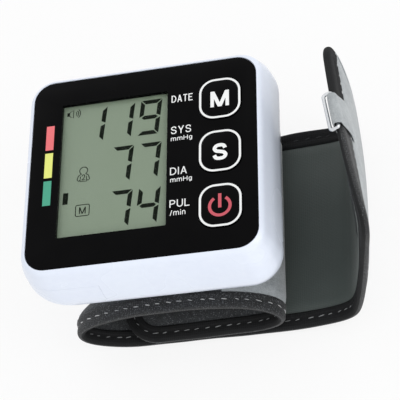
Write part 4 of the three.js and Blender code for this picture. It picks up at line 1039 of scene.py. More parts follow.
@dataclass
class DisplayPanel:
    """Black panel with its printed words and scale, and the display seen through its window."""

    face: Face
    thickness: float = 1.2
    ink: float = -0.015
    large_pen: float = 0.29
    small_pen: float = 0.2
    lcd_depth: float = 1.48
    # The display lies under the panel, so what is measured on the panel's plane moves by this much.
    lcd_shift: Point2 = (-0.39, 0.87)
    digit_size: Point2 = (6.1, 11.25)
    digit_rights: tuple[float, ...] = (-10.3, -2.25, 5.6)
    row_tops: tuple[float, ...] = (19.6, 5.65, -8.3)
    stroke: float = 1.25
    segment_gap: float = 0.2
    lean: float = 5.5
    rows: tuple[str, ...] = ("119", " 77", " 74")
    icon_pen: float = 0.24

    def panel(self) -> None:
        """The panel, with a softened edge and its four openings."""
        levels = ((self.thickness, 0.0), (0.16, 0.0), (0.05, -0.05), (0.0, -0.16))
        panel = stepped(self.face.half, self.face.corner, levels).build("display_panel", ())
        carve(panel, self.face.openings(0, 0.3, 0.18, 3))
        dress(panel, [BLACK_PMMA], 30)
        settle(panel, "monitor", "black_gloss", "front_panel")

    def words(self) -> None:
        """White words beside the display."""
        art = FlatArt(self.ink)
        for text, low, high, pen in (
            ("DATE", (8.25, 17.5), (14.25, 19.8), self.large_pen),
            ("SYS", (8.2, 7.3), (13.9, 9.7), self.large_pen),
            ("mmHg", (8.2, 5.1), (14.2, 6.5), self.small_pen),
            ("DIA", (8.1, -5.6), (12.8, -3.3), self.large_pen),
            ("mmHg", (8.2, -7.8), (14.2, -6.4), self.small_pen),
            ("PUL", (8.1, -15.6), (13.6, -13.3), self.large_pen),
            ("/min", (8.2, -18.0), (12.5, -16.4), self.small_pen),
        ):
            art.words(text, low, high, pen)
        art.build("panel_words", [WHITE_INK], "monitor", "black_gloss")

    def scale(self) -> None:
        """Three coloured bars beside the display."""
        art = FlatArt(self.ink)
        left, right = -27.9, -25.6
        for mark, (top, bottom) in enumerate(((15.25, 7.4), (6.4, -1.5), (-2.5, -10.2))):
            art.shape([(left, bottom), (right, bottom), (right, top), (left, top)], mark)
        art.build("pressure_scale", [RED_INK, YELLOW_INK, GREEN_INK], "monitor", "black_gloss")

    def segment(self, art: FlatArt, place: Point2, name: str) -> None:
        """Adds one segment of a digit.

        Args:
            art: The art to draw on.
            place: The digit's upper right corner.
            name: The segment's letter, a to g.
        """
        width, height = self.digit_size
        t, gap, middle = self.stroke, self.segment_gap, height / 2
        tip, side = gap + t * 0.4, middle - t / 2
        shapes = {
            "a": [(t + gap, height - t), (width - t - gap, height - t), (width - gap, height), (gap, height)],
            "g": [
                (tip, middle), (t + gap, side), (width - t - gap, side),
                (width - tip, middle), (width - t - gap, height - side), (t + gap, height - side),
            ],
            "f": [(0, middle + gap), (t, height - side + gap), (t, height - t - gap), (0, height - gap)],
        }
        for under, over in (("d", "a"), ("e", "f")):
            shapes[under] = [(x, height - y) for x, y in reversed(shapes[over])]
        for right, left in (("b", "f"), ("c", "e")):
            shapes[right] = [(width - x, y) for x, y in reversed(shapes[left])]
        lean = tan(radians(self.lean))
        left, foot = place[0] - width, place[1] - height
        art.shape([(left + x + (y - height) * lean, foot + y) for x, y in shapes[name]])

    def digits(self) -> None:
        """The digits on the display."""
        lit = {"1": "bc", "7": "abc", "9": "abcdfg", "4": "bcfg"}
        art = FlatArt(self.lcd_depth, self.lcd_shift)
        for row, top in zip(self.rows, self.row_tops):
            for digit, right in zip(row, self.digit_rights):
                for name in lit.get(digit, ""):
                    self.segment(art, (right, top), name)
        art.build("display_digits", [LCD_DARK], "monitor", "lcd_panel")

    def icons(self) -> None:
        """Loudspeaker, user, memory and level marks on the display."""
        art = FlatArt(self.lcd_depth, self.lcd_shift)
        pen = self.icon_pen
        art.stroke([(-21.5, 17.8), (-20.35, 17.05), (-20.35, 19.75), (-21.5, 19.0)], pen)
        art.shape([(-22.2, 17.8), (-21.4, 17.8), (-21.4, 19.0), (-22.2, 19.0)])
        lines = [arc((-20.1, 18.4), radius, -48, 48, 8) for radius in (0.7, 1.25, 1.8)]
        lines += [
            arc((-16.55, -0.55), 1.15, -60, 240, 16),
            [(-17.15, -1.55), (-18.0, -2.1), (-18.35, -3.3), (-17.9, -3.75), (-17.5, -3.4)],
            [(-15.95, -1.55), (-15.1, -2.1), (-14.75, -3.3), (-15.2, -3.75), (-15.6, -3.4)],
            [(-17.4, -2.3), (-17.5, -3.95), (-15.6, -3.95), (-15.7, -2.3)],
        ]
        for line in lines:
            art.stroke(line, pen)
        art.words("2", (-17.1, -3.6), (-16.05, -1.75), 0.22)
        art.stroke(rounded_rectangle((1.95, 1.72), 0.5, (-16.4, -13.0), 5), pen, closed=True)
        art.words("M", (-17.35, -14.05), (-15.45, -12.0), 0.28)
        art.shape([(-22.25, -10.6), (-20.75, -10.6), (-20.65, -7.0), (-22.15, -7.0)])
        art.build("display_icons", [LCD_DARK], "monitor", "lcd_panel")

    def build(self) -> None:
        """Builds the panel and its art."""
        self.panel()
        self.words()
        self.scale()
        self.digits()
        self.icons()


@dataclass
class Buttons:
    """Three caps with a printed outline and mark each."""

    face: Face
    rise: float = 0.4
    flange_top: float = 3.3
    flange_thickness: float = 0.6
    flange: float = 0.5
    ink: float = 0.015
    # The printed line round a cap: its width, and how far inside the cap's edge it starts.
    line: float = 0.6
    line_inset: float = 0.16
    # What is printed on a cap: the letter, its size, its pen's width and how far it stands off the middle.
    letters: tuple[tuple[str, str, Point2, float, float], ...] = (
        ("set", "S", (4.15, 5.2), 1.05, -0.4),
        ("memory", "M", (5.2, 5.05), 0.98, -0.2),
    )
    # The power sign: its middle from the cap's, its circle's radius and pen, and half its opening in degrees.
    sign_shift: Point2 = (-0.1, -0.25)
    sign_radius: float = 2.78
    sign_pen: float = 0.85
    sign_opening: float = 34.0

    def cap(self, name: str, place: Point2) -> None:
        """One cap, with a softened edge and its flange.

        Args:
            name: The button's name.
            place: The cap's middle.
        """
        levels = (
            (self.flange_top + self.flange_thickness, self.flange), (self.flange_top, self.flange),
            (self.flange_top, 0), (0.0, 0.0),
            (-self.rise + 0.16, -0.01), (-self.rise + 0.05, -0.05), (-self.rise, -0.14),
        )
        draft = stepped(self.face.cap_half, self.face.cap_corner, levels, place)
        cap = draft.build(f"{name}_cap", [BLACK_PMMA], 30)
        settle(cap, f"{name}_button", "black_gloss", f"{name}_button")

    def outline(self, art: FlatArt, place: Point2) -> None:
        """The printed line round a cap's edge."""
        inset = self.line_inset + self.line / 2
        half = self.face.cap_half[0] - inset, self.face.cap_half[1] - inset
        art.stroke(rounded_rectangle(half, self.face.cap_corner - inset, place), self.line, closed=True)

    def power_sign(self, art: FlatArt, place: Point2) -> None:
        """An open circle with an upright line in its opening.

        Args:
            art: The art to draw on.
            place: The cap's middle.
        """
        x, y = place[0] + self.sign_shift[0], place[1] + self.sign_shift[1]
        start, end = 90 + self.sign_opening, 450 - self.sign_opening
        art.stroke(arc((x, y), self.sign_radius, start, end, 40), self.sign_pen, mark=1)
        art.stroke([(x, y - 0.55), (x, y + 3.7)], 0.9, mark=1)

    def build(self) -> None:
        """Builds the caps and their marks."""
        letters = {name: rest for name, *rest in self.letters}
        for name, place in self.face.caps:
            self.cap(name, place)
            art = FlatArt(-self.rise - self.ink)
            self.outline(art, place)
            if name in letters:
                text, (wide, high), pen, off = letters[name]
                low = (place[0] - wide / 2, place[1] - high / 2 + off)
                art.words(text, low, (low[0] + wide, low[1] + high), pen)
            else:
                self.power_sign(art, place)
            art.build(f"{name}_mark", [WHITE_INK, ROSE_INK], f"{name}_button", "black_gloss")


# Cuff


def bezier(knots: Sequence[Array], share: Array) -> tuple[Array, Array]:
    """Points and headings of cubic curves.

    Args:
        knots: Four knots, each one point or a point for each share.
        share: Places along the curves, from 0 to 1.

    Returns:
        The points, and unit vectors along the curves.
    """
    a, b, c, d = (np.asarray(k, float) for k in knots)
    t = np.asarray(share, float)[:, None]
    u = 1 - t
    at = u**3 * a + 3 * u * u * t * b + 3 * u * t * t * c + t**3 * d
    slope = 3 * u * u * (b - a) + 6 * u * t * (c - b) + 3 * t * t * (d - c)
    return at, slope / np.linalg.norm(slope, axis=1, keepdims=True)


def headings(degrees: Array) -> Array:
    """Unit vectors in the XZ plane at angles in degrees."""
    angles = np.radians(degrees)
    return np.stack([np.cos(angles), np.sin(angles)], axis=1)


def running_length(points: Array) -> Array:
    """Distances along a line of points."""
    return np.concatenate([[0], np.cumsum(np.linalg.norm(np.diff(points, axis=0), axis=1))])


def edge_distance(s: Array, y: Array, start: float, end: float, half: float) -> Array:
    """How far places lie inside a rectangle from start to end and of half a width."""
    return np.minimum(np.minimum(s - start, end - s), half - np.abs(y))


@dataclass
class BandPath:
    """Where the band of cloth lies, from its inner end round the wrist loop and up the flap.

    A place on the flat band is its distance from the inner end, its place across and its height off
    the band's middle, positive to the plush side.
    """

    width: float = 63.4
    thickness: float = 3.0
    gap: float = 0.3
    inner_end_x: float = -18.0
    inner_turn_x: float = 18.0
    right_x: float = 29.5
    left_x: float = -29.2
    crown_x: float = 3.0
    rise: float = 20.5
    side_height: float = 10.5
    rest_left_x: float = -12.0
    rest_right_x: float = 24.0
    fullness: float = 0.6
    drift: float = 1.3
    bulge: float = 2.2
    free_edge_bow: float = 1.3
    # The loop's left side is drawn in beyond the near edge: how far, over which lengths of the band above
    # and below its widest place, and between which distances from the near edge.
    cinch: float = 6.9
    cinch_lengths: Point2 = (22.0, 15.0)
    cinch_across: Point2 = (5.0, 12.0)
    # The tail's far edge stands up beside the loop: how far, and over what width.
    lift: float = 3.6
    lift_width: float = 14.0
    inner_corner: float = 11.0
    flap_corner: float = 7.0
    # Each value at the near edge and at the far edge.
    start_handle: Point2 = (10.0, 14.0)
    hinge_handle: Point2 = (6.0, 5.5)
    rise_handle: Point2 = (5.0, 9.5)
    end_handle: Point2 = (18.0, 14.0)
    hinge_x: Point2 = (49.9, 51.3)
    hinge_z: Point2 = (8.0, 7.0)
    hinge_angle: Point2 = (56.0, 74.0)
    end_x: Point2 = (61.1, 51.2)
    end_z: Point2 = (58.9, 51.7)
    end_angle: Point2 = (79.0, 101.0)

    def __post_init__(self) -> None:
        """Samples the loop and measures the tail and the flap along the middle."""
        low = self.thickness / 2
        inner = low + self.thickness + self.gap
        crown = low + self.rise
        right, left = (self.right_x, self.side_height), (self.left_x, self.side_height)
        top, turn = (self.crown_x, crown), (self.inner_turn_x, inner)
        spans = [
            self.line((self.inner_end_x, inner), turn),
            self.quarter(turn, right, True),
            self.quarter(right, top, False),
            self.quarter(top, left, True),
            self.quarter(left, (self.rest_left_x, low), False),
            self.line((self.rest_left_x, low), (self.rest_right_x, low)),
        ]
        samples = 200
        share, middle = np.linspace(0, 1, samples), np.zeros(samples)
        points, slopes, lengths, total = [], [], [], 0.0
        self.starts = []
        for knots in spans:
            self.starts.append(total)
            at, slope = bezier(knots, share)
            steps = running_length(at)
            points.append(at)
            slopes.append(slope)
            lengths.append(total + steps)
            total += steps[-1]
        self.loop_points, self.loop_slopes = np.vstack(points), np.vstack(slopes)
        self.loop_steps, self.loop_length = np.concatenate(lengths), total
        self.tail_length = self.measure(self.tail_knots(middle), share)
        self.flap_length = self.measure(self.flap_knots(middle), share)
        self.fold = self.loop_length + self.tail_length
        self.length = self.fold + self.flap_length

    @staticmethod
    def measure(knots: Sequence[Array], share: Array) -> float:
        """The length of a curve."""
        at, _ = bezier(knots, share)
        return float(np.linalg.norm(np.diff(at, axis=0), axis=1).sum())

    @staticmethod
    def line(a: Point2, b: Point2) -> list[Array]:
        """The knots of a straight run."""
        start, end = np.array(a), np.array(b)
        return [start + (end - start) * k / 3 for k in range(4)]

    def quarter(self, a: Point2, b: Point2, level_first: bool) -> list[Array]:
        """The knots of a quarter turn.

        Args:
            a: Where it starts.
            b: Where it ends.
            level_first: Whether it starts level, not upright.

        Returns:
            Four knots.
        """
        dx, dz = self.fullness * (b[0] - a[0]), self.fullness * (b[1] - a[1])
        if level_first:
            handles = (a[0] + dx, a[1]), (b[0], b[1] - dz)
        else:
            handles = (a[0], a[1] + dz), (b[0] - dx, b[1])
        return [np.array(knot) for knot in (a, *handles, b)]

    def across(self, ends: Point2, y: Array) -> Array:
        """A value between the near and the far edge's."""
        return ends[0] + (ends[1] - ends[0]) * (y / self.width + 0.5)

    def hinge(self, y: Array) -> Array:
        """The fold's points across the band."""
        return np.stack([self.across(self.hinge_x, y), self.across(self.hinge_z, y)], axis=1)

    def tail_knots(self, y: Array) -> list[Array]:
        """The tail's curve for each place across.

        Args:
            y: Places across the band.

        Returns:
            Four knots, each with a row for each place.
        """
        start = np.tile([self.rest_right_x, self.thickness / 2], (len(y), 1))
        first = start + np.stack([self.across(self.start_handle, y), 0 * y], axis=1)
        hinge, way = self.hinge(y), headings(self.across(self.hinge_angle, y))
        return [start, first, hinge - way * self.across(self.hinge_handle, y)[:, None], hinge]

    def flap_knots(self, y: Array) -> list[Array]:
        """The flap's curve for each place across.

        Args:
            y: Places across the band.

        Returns:
            Four knots, each with a row for each place.
        """
        hinge, way = self.hinge(y), headings(self.across(self.hinge_angle, y))
        bow = self.free_edge_bow * (1 - (2 * y / self.width) ** 2)
        end = np.stack([self.across(self.end_x, y) - bow, self.across(self.end_z, y)], axis=1)
        back = headings(self.across(self.end_angle, y)) * self.across(self.end_handle, y)[:, None]
        return [hinge, hinge + way * self.across(self.rise_handle, y)[:, None], end - back, end]

    def drawn_right(self, s: Array, y: Array) -> Array:
        """How far places on the loop's left side are drawn in to the right.

        Args:
            s: Distances from the inner end.
            y: Places across the band.

        Returns:
            The lengths to the right.
        """
        past = s - self.starts[4]
        above, below = self.cinch_lengths
        start, end = self.cinch_across
        turn = np.clip(past / np.where(past < 0, above, below), -1, 1) * pi / 2
        share = np.clip((y + self.width / 2 - start) / (end - start), 0, 1)
        return self.cinch * (share + ease(share)) / 2 * np.cos(turn) ** 2

    def lifted(self, s: Array, y: Array) -> Array:
        """How far places near the tail's far edge stand up."""
        along = np.clip((s - self.loop_length) / (self.fold - self.loop_length), 0, 1)
        across = np.clip((y - self.width / 2 + self.lift_width) / self.lift_width, 0, 1)
        return self.lift * np.sin(pi * along**0.6) * across**2

    def place(self, s: Array, y: Array, h: Array) -> Array:
        """Turns places on the flat band into points of the part.

        Args:
            s: Distances from the inner end.
            y: Places across the band.
            h: Heights off the band's middle.

        Returns:
            One row of X, Y, Z for each place.
        """
        s, y, h = (np.asarray(v, float).ravel() for v in np.broadcast_arrays(s, y, h))
        at = np.empty((len(s), 2))
        way = np.empty((len(s), 2))
        for k in range(2):
            at[:, k] = np.interp(s, self.loop_steps, self.loop_points[:, k])
            way[:, k] = np.interp(s, self.loop_steps, self.loop_slopes[:, k])
        out_y = y - self.drift * np.maximum(1 - s / self.starts[3], 0)
        at[:, 0] += self.drawn_right(s, y)
        before = s < 0
        at[before] += s[before, None] * way[before]
        tail = (s > self.loop_length) & (s <= self.fold)
        if tail.any():
            share = (s[tail] - self.loop_length) / self.tail_length
            at[tail], way[tail] = bezier(self.tail_knots(y[tail]), share)
        flap = s > self.fold
        if flap.any():
            share = (s[flap] - self.fold) / self.flap_length
            held = np.clip(share, 0, 1)
            at[flap], way[flap] = bezier(self.flap_knots(y[flap]), held)
            at[flap] += way[flap] * ((share - held) * self.flap_length)[:, None]
            crown = np.maximum(1 - (2 * y[flap] / self.width) ** 2, 0)
            h = h.copy()
            h[flap] += self.bulge * crown * 4 * held * (1 - held)
        at[:, 1] += self.lifted(s, y)
        way /= np.linalg.norm(way, axis=1, keepdims=True)
        return np.stack([at[:, 0] + way[:, 1] * h, out_y, at[:, 1] - way[:, 0] * h], axis=1)

    def around(self, s: float, y: Array, first: Array, second: Array) -> tuple[Array, Array]:
        """A ring round a strip of cloth.

        Args:
            s: The strip's distance from the inner end.
            y: Its places across.
            first: The heights of one of its faces.
            second: The heights of the other.

        Returns:
            The ring's points, and their places on the flat cloth.
        """
        out_y, h = (np.concatenate([one, other[::-1]]) for one, other in ((y, y), (first, second)))
        out_s = np.full(len(h), s)
        return self.place(out_s, out_y, h), np.stack([out_s, out_y, h], axis=1)

    def inset(self, s: Array, y: Array) -> Array:
        """How far places lie inside the band's edge.

        Args:
            s: Distances from the inner end.
            y: Places across the band.

        Returns:
            The lengths, below 0 outside the edge.
        """
        side = self.width / 2 - np.abs(y)
        depth = edge_distance(s, y, 0, self.length, self.width / 2)
        for corner, along in ((self.inner_corner, s), (self.flap_corner, self.length - s)):
            beyond = (along < corner) & (side < corner)
            round_in = corner - np.hypot(corner - along, corner - side)
            depth = np.where(beyond, round_in, depth)
        return depth

    def half_width(self, s: float, margin: float) -> float:
        """Half the width left inside a drawn-in edge.

        Args:
            s: The distance from the inner end.
            margin: How far the edge is drawn in.

        Returns:
            Half the width.
        """
        widths = []
        for corner, along in ((self.inner_corner, s), (self.flap_corner, self.length - s)):
            radius = corner - margin
            fall = max(corner - along, 0)
            if radius <= 0:
                widths.append(self.width / 2 - margin)
            else:
                widths.append(self.width / 2 - corner + sqrt(max(radius**2 - fall**2, 0)))
        return min(widths)

    def stations(self, start: float, end: float, margin: float, step: float) -> list[float]:
        """Divides the band's length, more finely at its rounded ends.

        Args:
            start: The first distance.
            end: The last one.
            margin: How far the edge is drawn in.
            step: The usual step.

        Returns:
            The distances, in order.
        """
        radius = max(self.inner_corner - margin, 0)
        far_radius = max(self.flap_corner - margin, 0)
        turns = [cos(k / 8 * pi / 2) for k in range(9)]
        special = [self.inner_corner - radius * t for t in turns]
        special += [self.length - self.flap_corner + far_radius * t for t in turns]
        kept = sorted([d for d in special if start + 0.05 < d < end - 0.05] + [start, end])
        for d in np.linspace(start, end, int((end - start) / step) + 1):
            if min(abs(d - k) for k in kept) > step * 0.45:
                kept.append(d)
        return sorted(kept)

    def edge(self, depth: float, step: float = 1.5) -> list[Point4]:
        """The band's outline, drawn in by a depth.

        Args:
            depth: How far the outline lies inside the edge.
            step: The distance between its points along straight runs.

        Returns:
            Distance, place across, and the two parts of the unit vector into the band, in order round it.
        """
        half, reach, last = self.width / 2, self.width / 2 - depth, self.length
        near, far, turn_steps = self.inner_corner, self.flap_corner, 10
        # Each side's start, end and way into the band, with the radius and the middle of the corner after it.
        sides = (
            ((near, -reach), (last - far, -reach), (0, 1), far, (last - far, far - half)),
            ((last - depth, far - half), (last - depth, half - far), (-1, 0), far, (last - far, half - far)),
            ((last - far, reach), (near, reach), (0, -1), near, (near, half - near)),
            ((depth, half - near), (depth, near - half), (1, 0), near, (near, near - half)),
        )
        outline = []
        for side, (a, b, inward, corner, middle) in enumerate(sides):
            count = max(int(dist(a, b) / step), 1)
            for k in range(count):
                outline.append((a[0] + (b[0] - a[0]) * k / count, a[1] + (b[1] - a[1]) * k / count, *inward))
            for k in range(turn_steps):
                angle = radians(90 * (side - 1) + 90 * k / turn_steps)
                out, radius = (cos(angle), sin(angle)), corner - depth
                outline.append((middle[0] + radius * out[0], middle[1] + radius * out[1], -out[0], -out[1]))
        return outline


def ripple(s: Array, y: Array) -> Array:
    """Slow uneven waves of cloth, from about -1 to 1, over a distance and a place across."""
    wave = 0.45 * np.sin(s / 6.1 + 1.3 * np.sin(y / 13) + 0.4)
    wave += 0.3 * np.sin(s / 3.3 - y / 5.7 + 1.7)
    return wave + 0.25 * np.sin(y / 4.1 + s / 9.5 + 0.9 * np.sin(s / 5.2))


def ease(share: Array) -> Array:
    """A smooth step from 0 to 1."""
    held = np.clip(share, 0, 1)
    return held * held * (3 - 2 * held)


@dataclass
class Cuff:
    """Band of cloth with its cover, lining, edge tape, stitches, fillings and hook patch."""

    path: BandPath
    face: float = 1.5
    sheet: float = 0.5
    tape_width: float = 4.7
    tuck: float = 3.3
    tucked_face: float = 0.62
    ramp: float = 3.4
    ripple_height: float = 0.1
    # The plush runs to the flap's far edge, where the tape shows only as a rim.
    bare_tuck: float = 0.8
    bare_face: float = 1.05
    rim_share: float = 0.22
    # The tape is this much wider along the flap's free edge.
    free_width: float = 1.5
    # Along the flap's far edge its outer leg shrinks to the rim: this far past the fold, over that length,
    # and back again this far from the free edge, over that length.
    rim_from: Point2 = (2.0, 10.0)
    rim_to: Point2 = (5.0, 3.5)
    # There the plush is bare from this place across, over that width.
    bare_from: Point2 = (10.0, 8.0)
    # Its outer leg is blacker past the loop, beyond this place across.
    blacker_leg_above: float = 7.0
    # Painted shade: the cover is dark velour beside the near edge round the loop, where the case's shadow
    # falls, between these distances along the band.
    painted_shade_from: float = 70.0
    painted_shade_to: float = 132.0
    painted_shade_width: float = 12.5
    # Inside the loop the wrist side is velour as far as this.
    velour_to: float = 152.0
    hinge: Point3 = (50.6, 0.0, 7.5)
    hinge_way: Point3 = (0.75, 0.0, 0.66)
    bend_reach: float = 2.6
    pad_end: float = 44.0
    stitch: float = 1.75
    stitch_gap: float = 1.35
    stitch_inset: float = 2.6
    patch_start: float = 9.0
    patch_length: float = 16.0
    patch_width: float = 36.0

    def surface(self, s: Array, y: Array, bare: Array | float = 0.0, wider: Array | float = 0.0) -> Array:
        """The cloth's face height: full in the middle, and lower where it runs under the tape.

        Args:
            s: Distances from the inner end.
            y: Places across the band.
            bare: How far the cloth is free of the tape, from 0 to 1.
            wider: How much wider the tape is.

        Returns:
            Heights off the band's middle.
        """
        inside = self.path.inset(s, y)
        tuck = self.tuck + (self.bare_tuck - self.tuck) * bare + wider
        low = self.tucked_face + (self.bare_face - self.tucked_face) * bare
        share = ease((inside - tuck) / self.ramp)
        high = low + (self.face - low) * share
        return high - self.ripple_height * (1 + ripple(s, y)) * share / 2

    def rimmed(self, s: Array) -> Array:
        """How far the tape's outer leg is a mere rim at the far edge, from 0 to 1."""
        (start, grows), (end, fades) = self.rim_from, self.rim_to
        return ease((s - self.path.fold - start) / grows) * ease((self.path.length - s - end) / fades)

    def plush_face(self, s: Array, y: Array) -> Array:
        """The plush's outer face."""
        bare = self.rimmed(s) * ease((y - self.bare_from[0]) / self.bare_from[1])
        side, end = self.path.width / 2 - np.abs(y), self.path.length - s
        return self.surface(s, y, bare, self.free_width * ease((side - end) / 4 + 0.5))

    def wrist_face(self, s: Array, y: Array) -> Array:
        """The lining's face on the wrist side."""
        return -self.surface(s, y)

    def wrist_back(self, s: Array, y: Array) -> Array:
        """The lining's back."""
        return -self.surface(s, y) + self.sheet

    def fold_over(self, piece: Piece, slot: str, *nodes: str) -> None:
        """Bakes a piece's place into its mesh and hides the CAD nodes it stands for."""
        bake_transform(piece)
        label(piece, nodes, "bends at the fold")

    def layer(
        self, start: float, end: float, margin: float, heights: tuple[Height, Height], columns: int = 34,
        step: float = 1.5, bare: bool = False,
    ) -> Draft:
        """A closed layer of cloth.

        Args:
            start: Where it starts along the band.
            end: Where it ends.
            margin: How far it keeps inside the band's edge.
            heights: Two functions of distance and place across, for its outer and inner face.
            columns: How many strips it has across.
            step: Their length along the band.
            bare: Whether it runs on to the flap's far edge.

        Returns:
            The layer's shape.
        """
        # The strips are narrower toward the two edges, where the face falls under the tape.
        rows = np.sin(np.linspace(-1, 1, columns + 1) * pi / 2 * 0.86)
        rows /= rows[-1]
        strips = []
        for s in self.path.stations(start, end, margin, step):
            y = rows * max(self.path.half_width(s, margin), 0.5)
            if bare:
                free_margin = margin + (self.bare_tuck - margin) * float(self.rimmed(s))
                y = np.where(rows > 0, rows * self.path.half_width(s, free_margin), y)
            strips.append(self.path.around(s, y, *(height(np.full(len(y), s), y) for height in heights)))
        return skin(*zip(*strips))

    def cover(self) -> None:
        """Plush cover, one length of cloth from the inner end to the flap's free edge."""
        heights = (self.plush_face, lambda s, y: self.plush_face(s, y) - self.sheet)
        draft = self.layer(self.tuck, self.path.length - self.tuck, self.tuck, heights, bare=True)
        near = -self.path.width / 2 + self.painted_shade_width
        # Painted shade: the faces in the case's shadow by the near edge take the dark velour.
        draft.mark_where(lambda s, y, h: self.painted_shade_from < s < self.painted_shade_to and y < near)
        cover = draft.build("plush_cover", [GREY_PLUSH, BLACK_VELOUR], 60)
        self.fold_over(cover, "grey_plush", "cuff_cover", "flap_cover")

    def lining(self) -> None:
        """Nylon lining, one length of cloth on the wrist side."""
        heights = (self.wrist_back, self.wrist_face)
        draft = self.layer(self.pad_end, self.path.length - self.tuck, self.tuck, heights)
        draft.mark_where(lambda s, y, h: s < self.velour_to)
        lining = draft.build("nylon_lining", [DARK_NYLON, BLACK_VELOUR], 60)
        self.fold_over(lining, "dark_nylon", "cuff_lining", "flap_lining")

    def pad(self) -> None:
        """Velour pad on the wrist side of the inner end."""
        def pile(s: Array, y: Array) -> Array:
            """The pad's face, which stands a little higher than the lining's."""
            return -self.surface(s, y) - 0.12 * ease((self.path.inset(s, y) - self.tape_width) / 1.5)

        draft = self.layer(self.tuck, self.pad_end - 0.15, self.tuck, (self.wrist_back, pile), step=1.2)
        pad = draft.build("velour_pad", [BLACK_VELOUR], 60)
        settle(pad, "monitor", "dark_nylon")

    def core(self) -> None:
        """Foam between cover and lining beyond the loop."""
        gap, margin = 0.08, 5.2
        heights = (
            lambda s, y: self.plush_face(s, y) - self.sheet - gap,
            lambda s, y: self.wrist_back(s, y) + gap,
        )
        start, end = self.path.starts[5] + 0.5, self.path.length - margin
        draft = self.layer(start, end, margin, heights, columns=16, step=2.5)
        core = draft.build("foam_core", [GREY_FOAM], 60)
        self.fold_over(core, "felt_core", "tail_core", "flap_core")

    def bladder(self) -> None:
        """Air bladder: two films welded at their edge, a little full between."""
        start, end, margin, middle = 14.0, self.path.starts[4], 6.0, -0.35

        def fullness(s: Array, y: Array) -> Array:
            """How far each film stands off the middle: welded flat at the edge."""
            return 0.06 + 0.2 * ease((edge_distance(s, y, start, end, self.path.width / 2 - margin) - 2.5) / 3)

        heights = (lambda s, y: middle + fullness(s, y), lambda s, y: middle - fullness(s, y))
        draft = self.layer(start, end, margin, heights, columns=20, step=2.5)
        bladder = draft.build("welded_air_bladder", [BLADDER_FILM], 60)
        settle(bladder, "monitor", "bladder_film", "air_bladder")

    @staticmethod
    def tape_section() -> Array:
        """The tape's section, round its two legs.

        Returns:
            Rows of a distance from the band's edge and a height.
        """
        outer = [
            (4.7, 0.98), (4.62, 1.2), (4.35, 1.34), (3.9, 1.36), (3.4, 1.26), (2.9, 1.1), (2.6, 1.03),
            (2.3, 1.08), (1.9, 1.13), (1.4, 1.12), (0.9, 1.07), (0.5, 0.96), (0.2, 0.75), (0.05, 0.45),
            (0.0, 0.15),
        ]
        inner = [(0.5, 0.3), (0.9, 0.55), (2.0, 0.58), (2.6, 0.56), (3.4, 0.68), (4.2, 0.86)]
        legs = outer + [(u, -h) for u, h in reversed(outer)]
        return np.array(legs + [(u, -h) for u, h in reversed(inner)] + inner)

    def reach(self, u: Array, h: Array, rim: float, free: float) -> Array:
        """How far the section's points lie from the band's edge.

        Args:
            u: Their distances in the plain section.
            h: Their heights in the section.
            rim: How far the outer leg shrinks to a rim, from 0 to 1.
            free: How far it widens, from 0 to 1.

        Returns:
            The distances.
        """
        wider = self.free_width * free * np.clip((u - 1.4) / 2.6, 0, 1)
        return np.where(h < 0, u, u * (1 - (1 - self.rim_share) * rim) + wider)

    def tape(self) -> None:
        """Edge tape, one length folded round the band's whole edge."""
        plain_u, plain_h = self.tape_section().T
        # The tape's swell beyond the band's edge, and where the rim and its outer side begin.
        swell, rim_least, rim_height = 0.12, 0.3, 0.3
        rings, cloth, run, bare_runs, rim_runs = [], [], 0.0, [], []
        outline = self.path.edge(0)
        for k, (s, y, ds, dy) in enumerate(outline):
            before = outline[k - 1] if k else outline[0]
            run += hypot(s - before[0], y - before[1])
            if s > self.path.loop_length and y > self.blacker_leg_above:
                bare_runs.append(run)
            wave = float(ripple(np.array(s * 1.3), np.array(y * 1.1)))
            rim = float(self.rimmed(s)) * max(-dy, 0) ** 2
            if rim > rim_least:
                rim_runs.append(run)
            free = float(s > self.path.fold) * max(-ds, 0) ** 2
            u = self.reach(plain_u, plain_h, rim, free)
            h = plain_h * (1 + 0.04 * wave)
            inward = u + swell * wave * np.clip(1 - u / self.tape_width, 0, 1) + swell
            rings.append(self.path.place(s + ds * inward, y + dy * inward, h))
            cloth.append(np.stack([np.full(len(u), run), u + h, h], axis=1))
        draft = skin(rings, cloth, closed=True)
        low, high = min(bare_runs), max(bare_runs)
        draft.mark_where(lambda s, y, h: h < 0 or low < s < high)
        draft.mark_where(lambda s, y, h: h > rim_height and min(rim_runs) < s < max(rim_runs), 2)
        tape = draft.build("edge_tape", [DARK_TAPE, BLACK_TAPE, GREY_PLUSH], 60)
        self.fold_over(tape, "dark_tape", "cuff_binding", "flap_binding")

    def seam_lines(self) -> list[tuple[int, int, Array]]:
        """The runs of stitches on both faces.

        Returns:
            Each run's side of the band, its thread's finish and its places.
        """
        outline = np.array(self.path.edge(self.stitch_inset, 0.5))
        s, y, inward = outline[:, 0], outline[:, 1], outline[:, 2:]
        far, free = inward[:, 1] < -0.5, s > self.path.fold
        shift = np.where(free, (self.free_width + 1.3) * np.maximum(-inward[:, 0], 0) ** 2, 0)
        places = np.stack([s, y], axis=1) + inward * shift[:, None]
        lines = []
        for side in (1, -1):
            # White thread shows outside, grey inside at the inner end and the near edge, black elsewhere.
            black = (far & free) if side > 0 else (far & (s > self.pad_end)) | free
            turns = [0, *(np.flatnonzero(np.diff(black.astype(int))) + 1), len(black)]
            for first, last in zip(turns[:-1], turns[1:]):
                if side > 0 and black[first]:
                    continue
                line = places[first : last + 1]
                if last == len(black):
                    line = np.vstack([line, places[:1]])
                lines.append((side, 2 if black[first] else int(side < 0), line))
        return lines

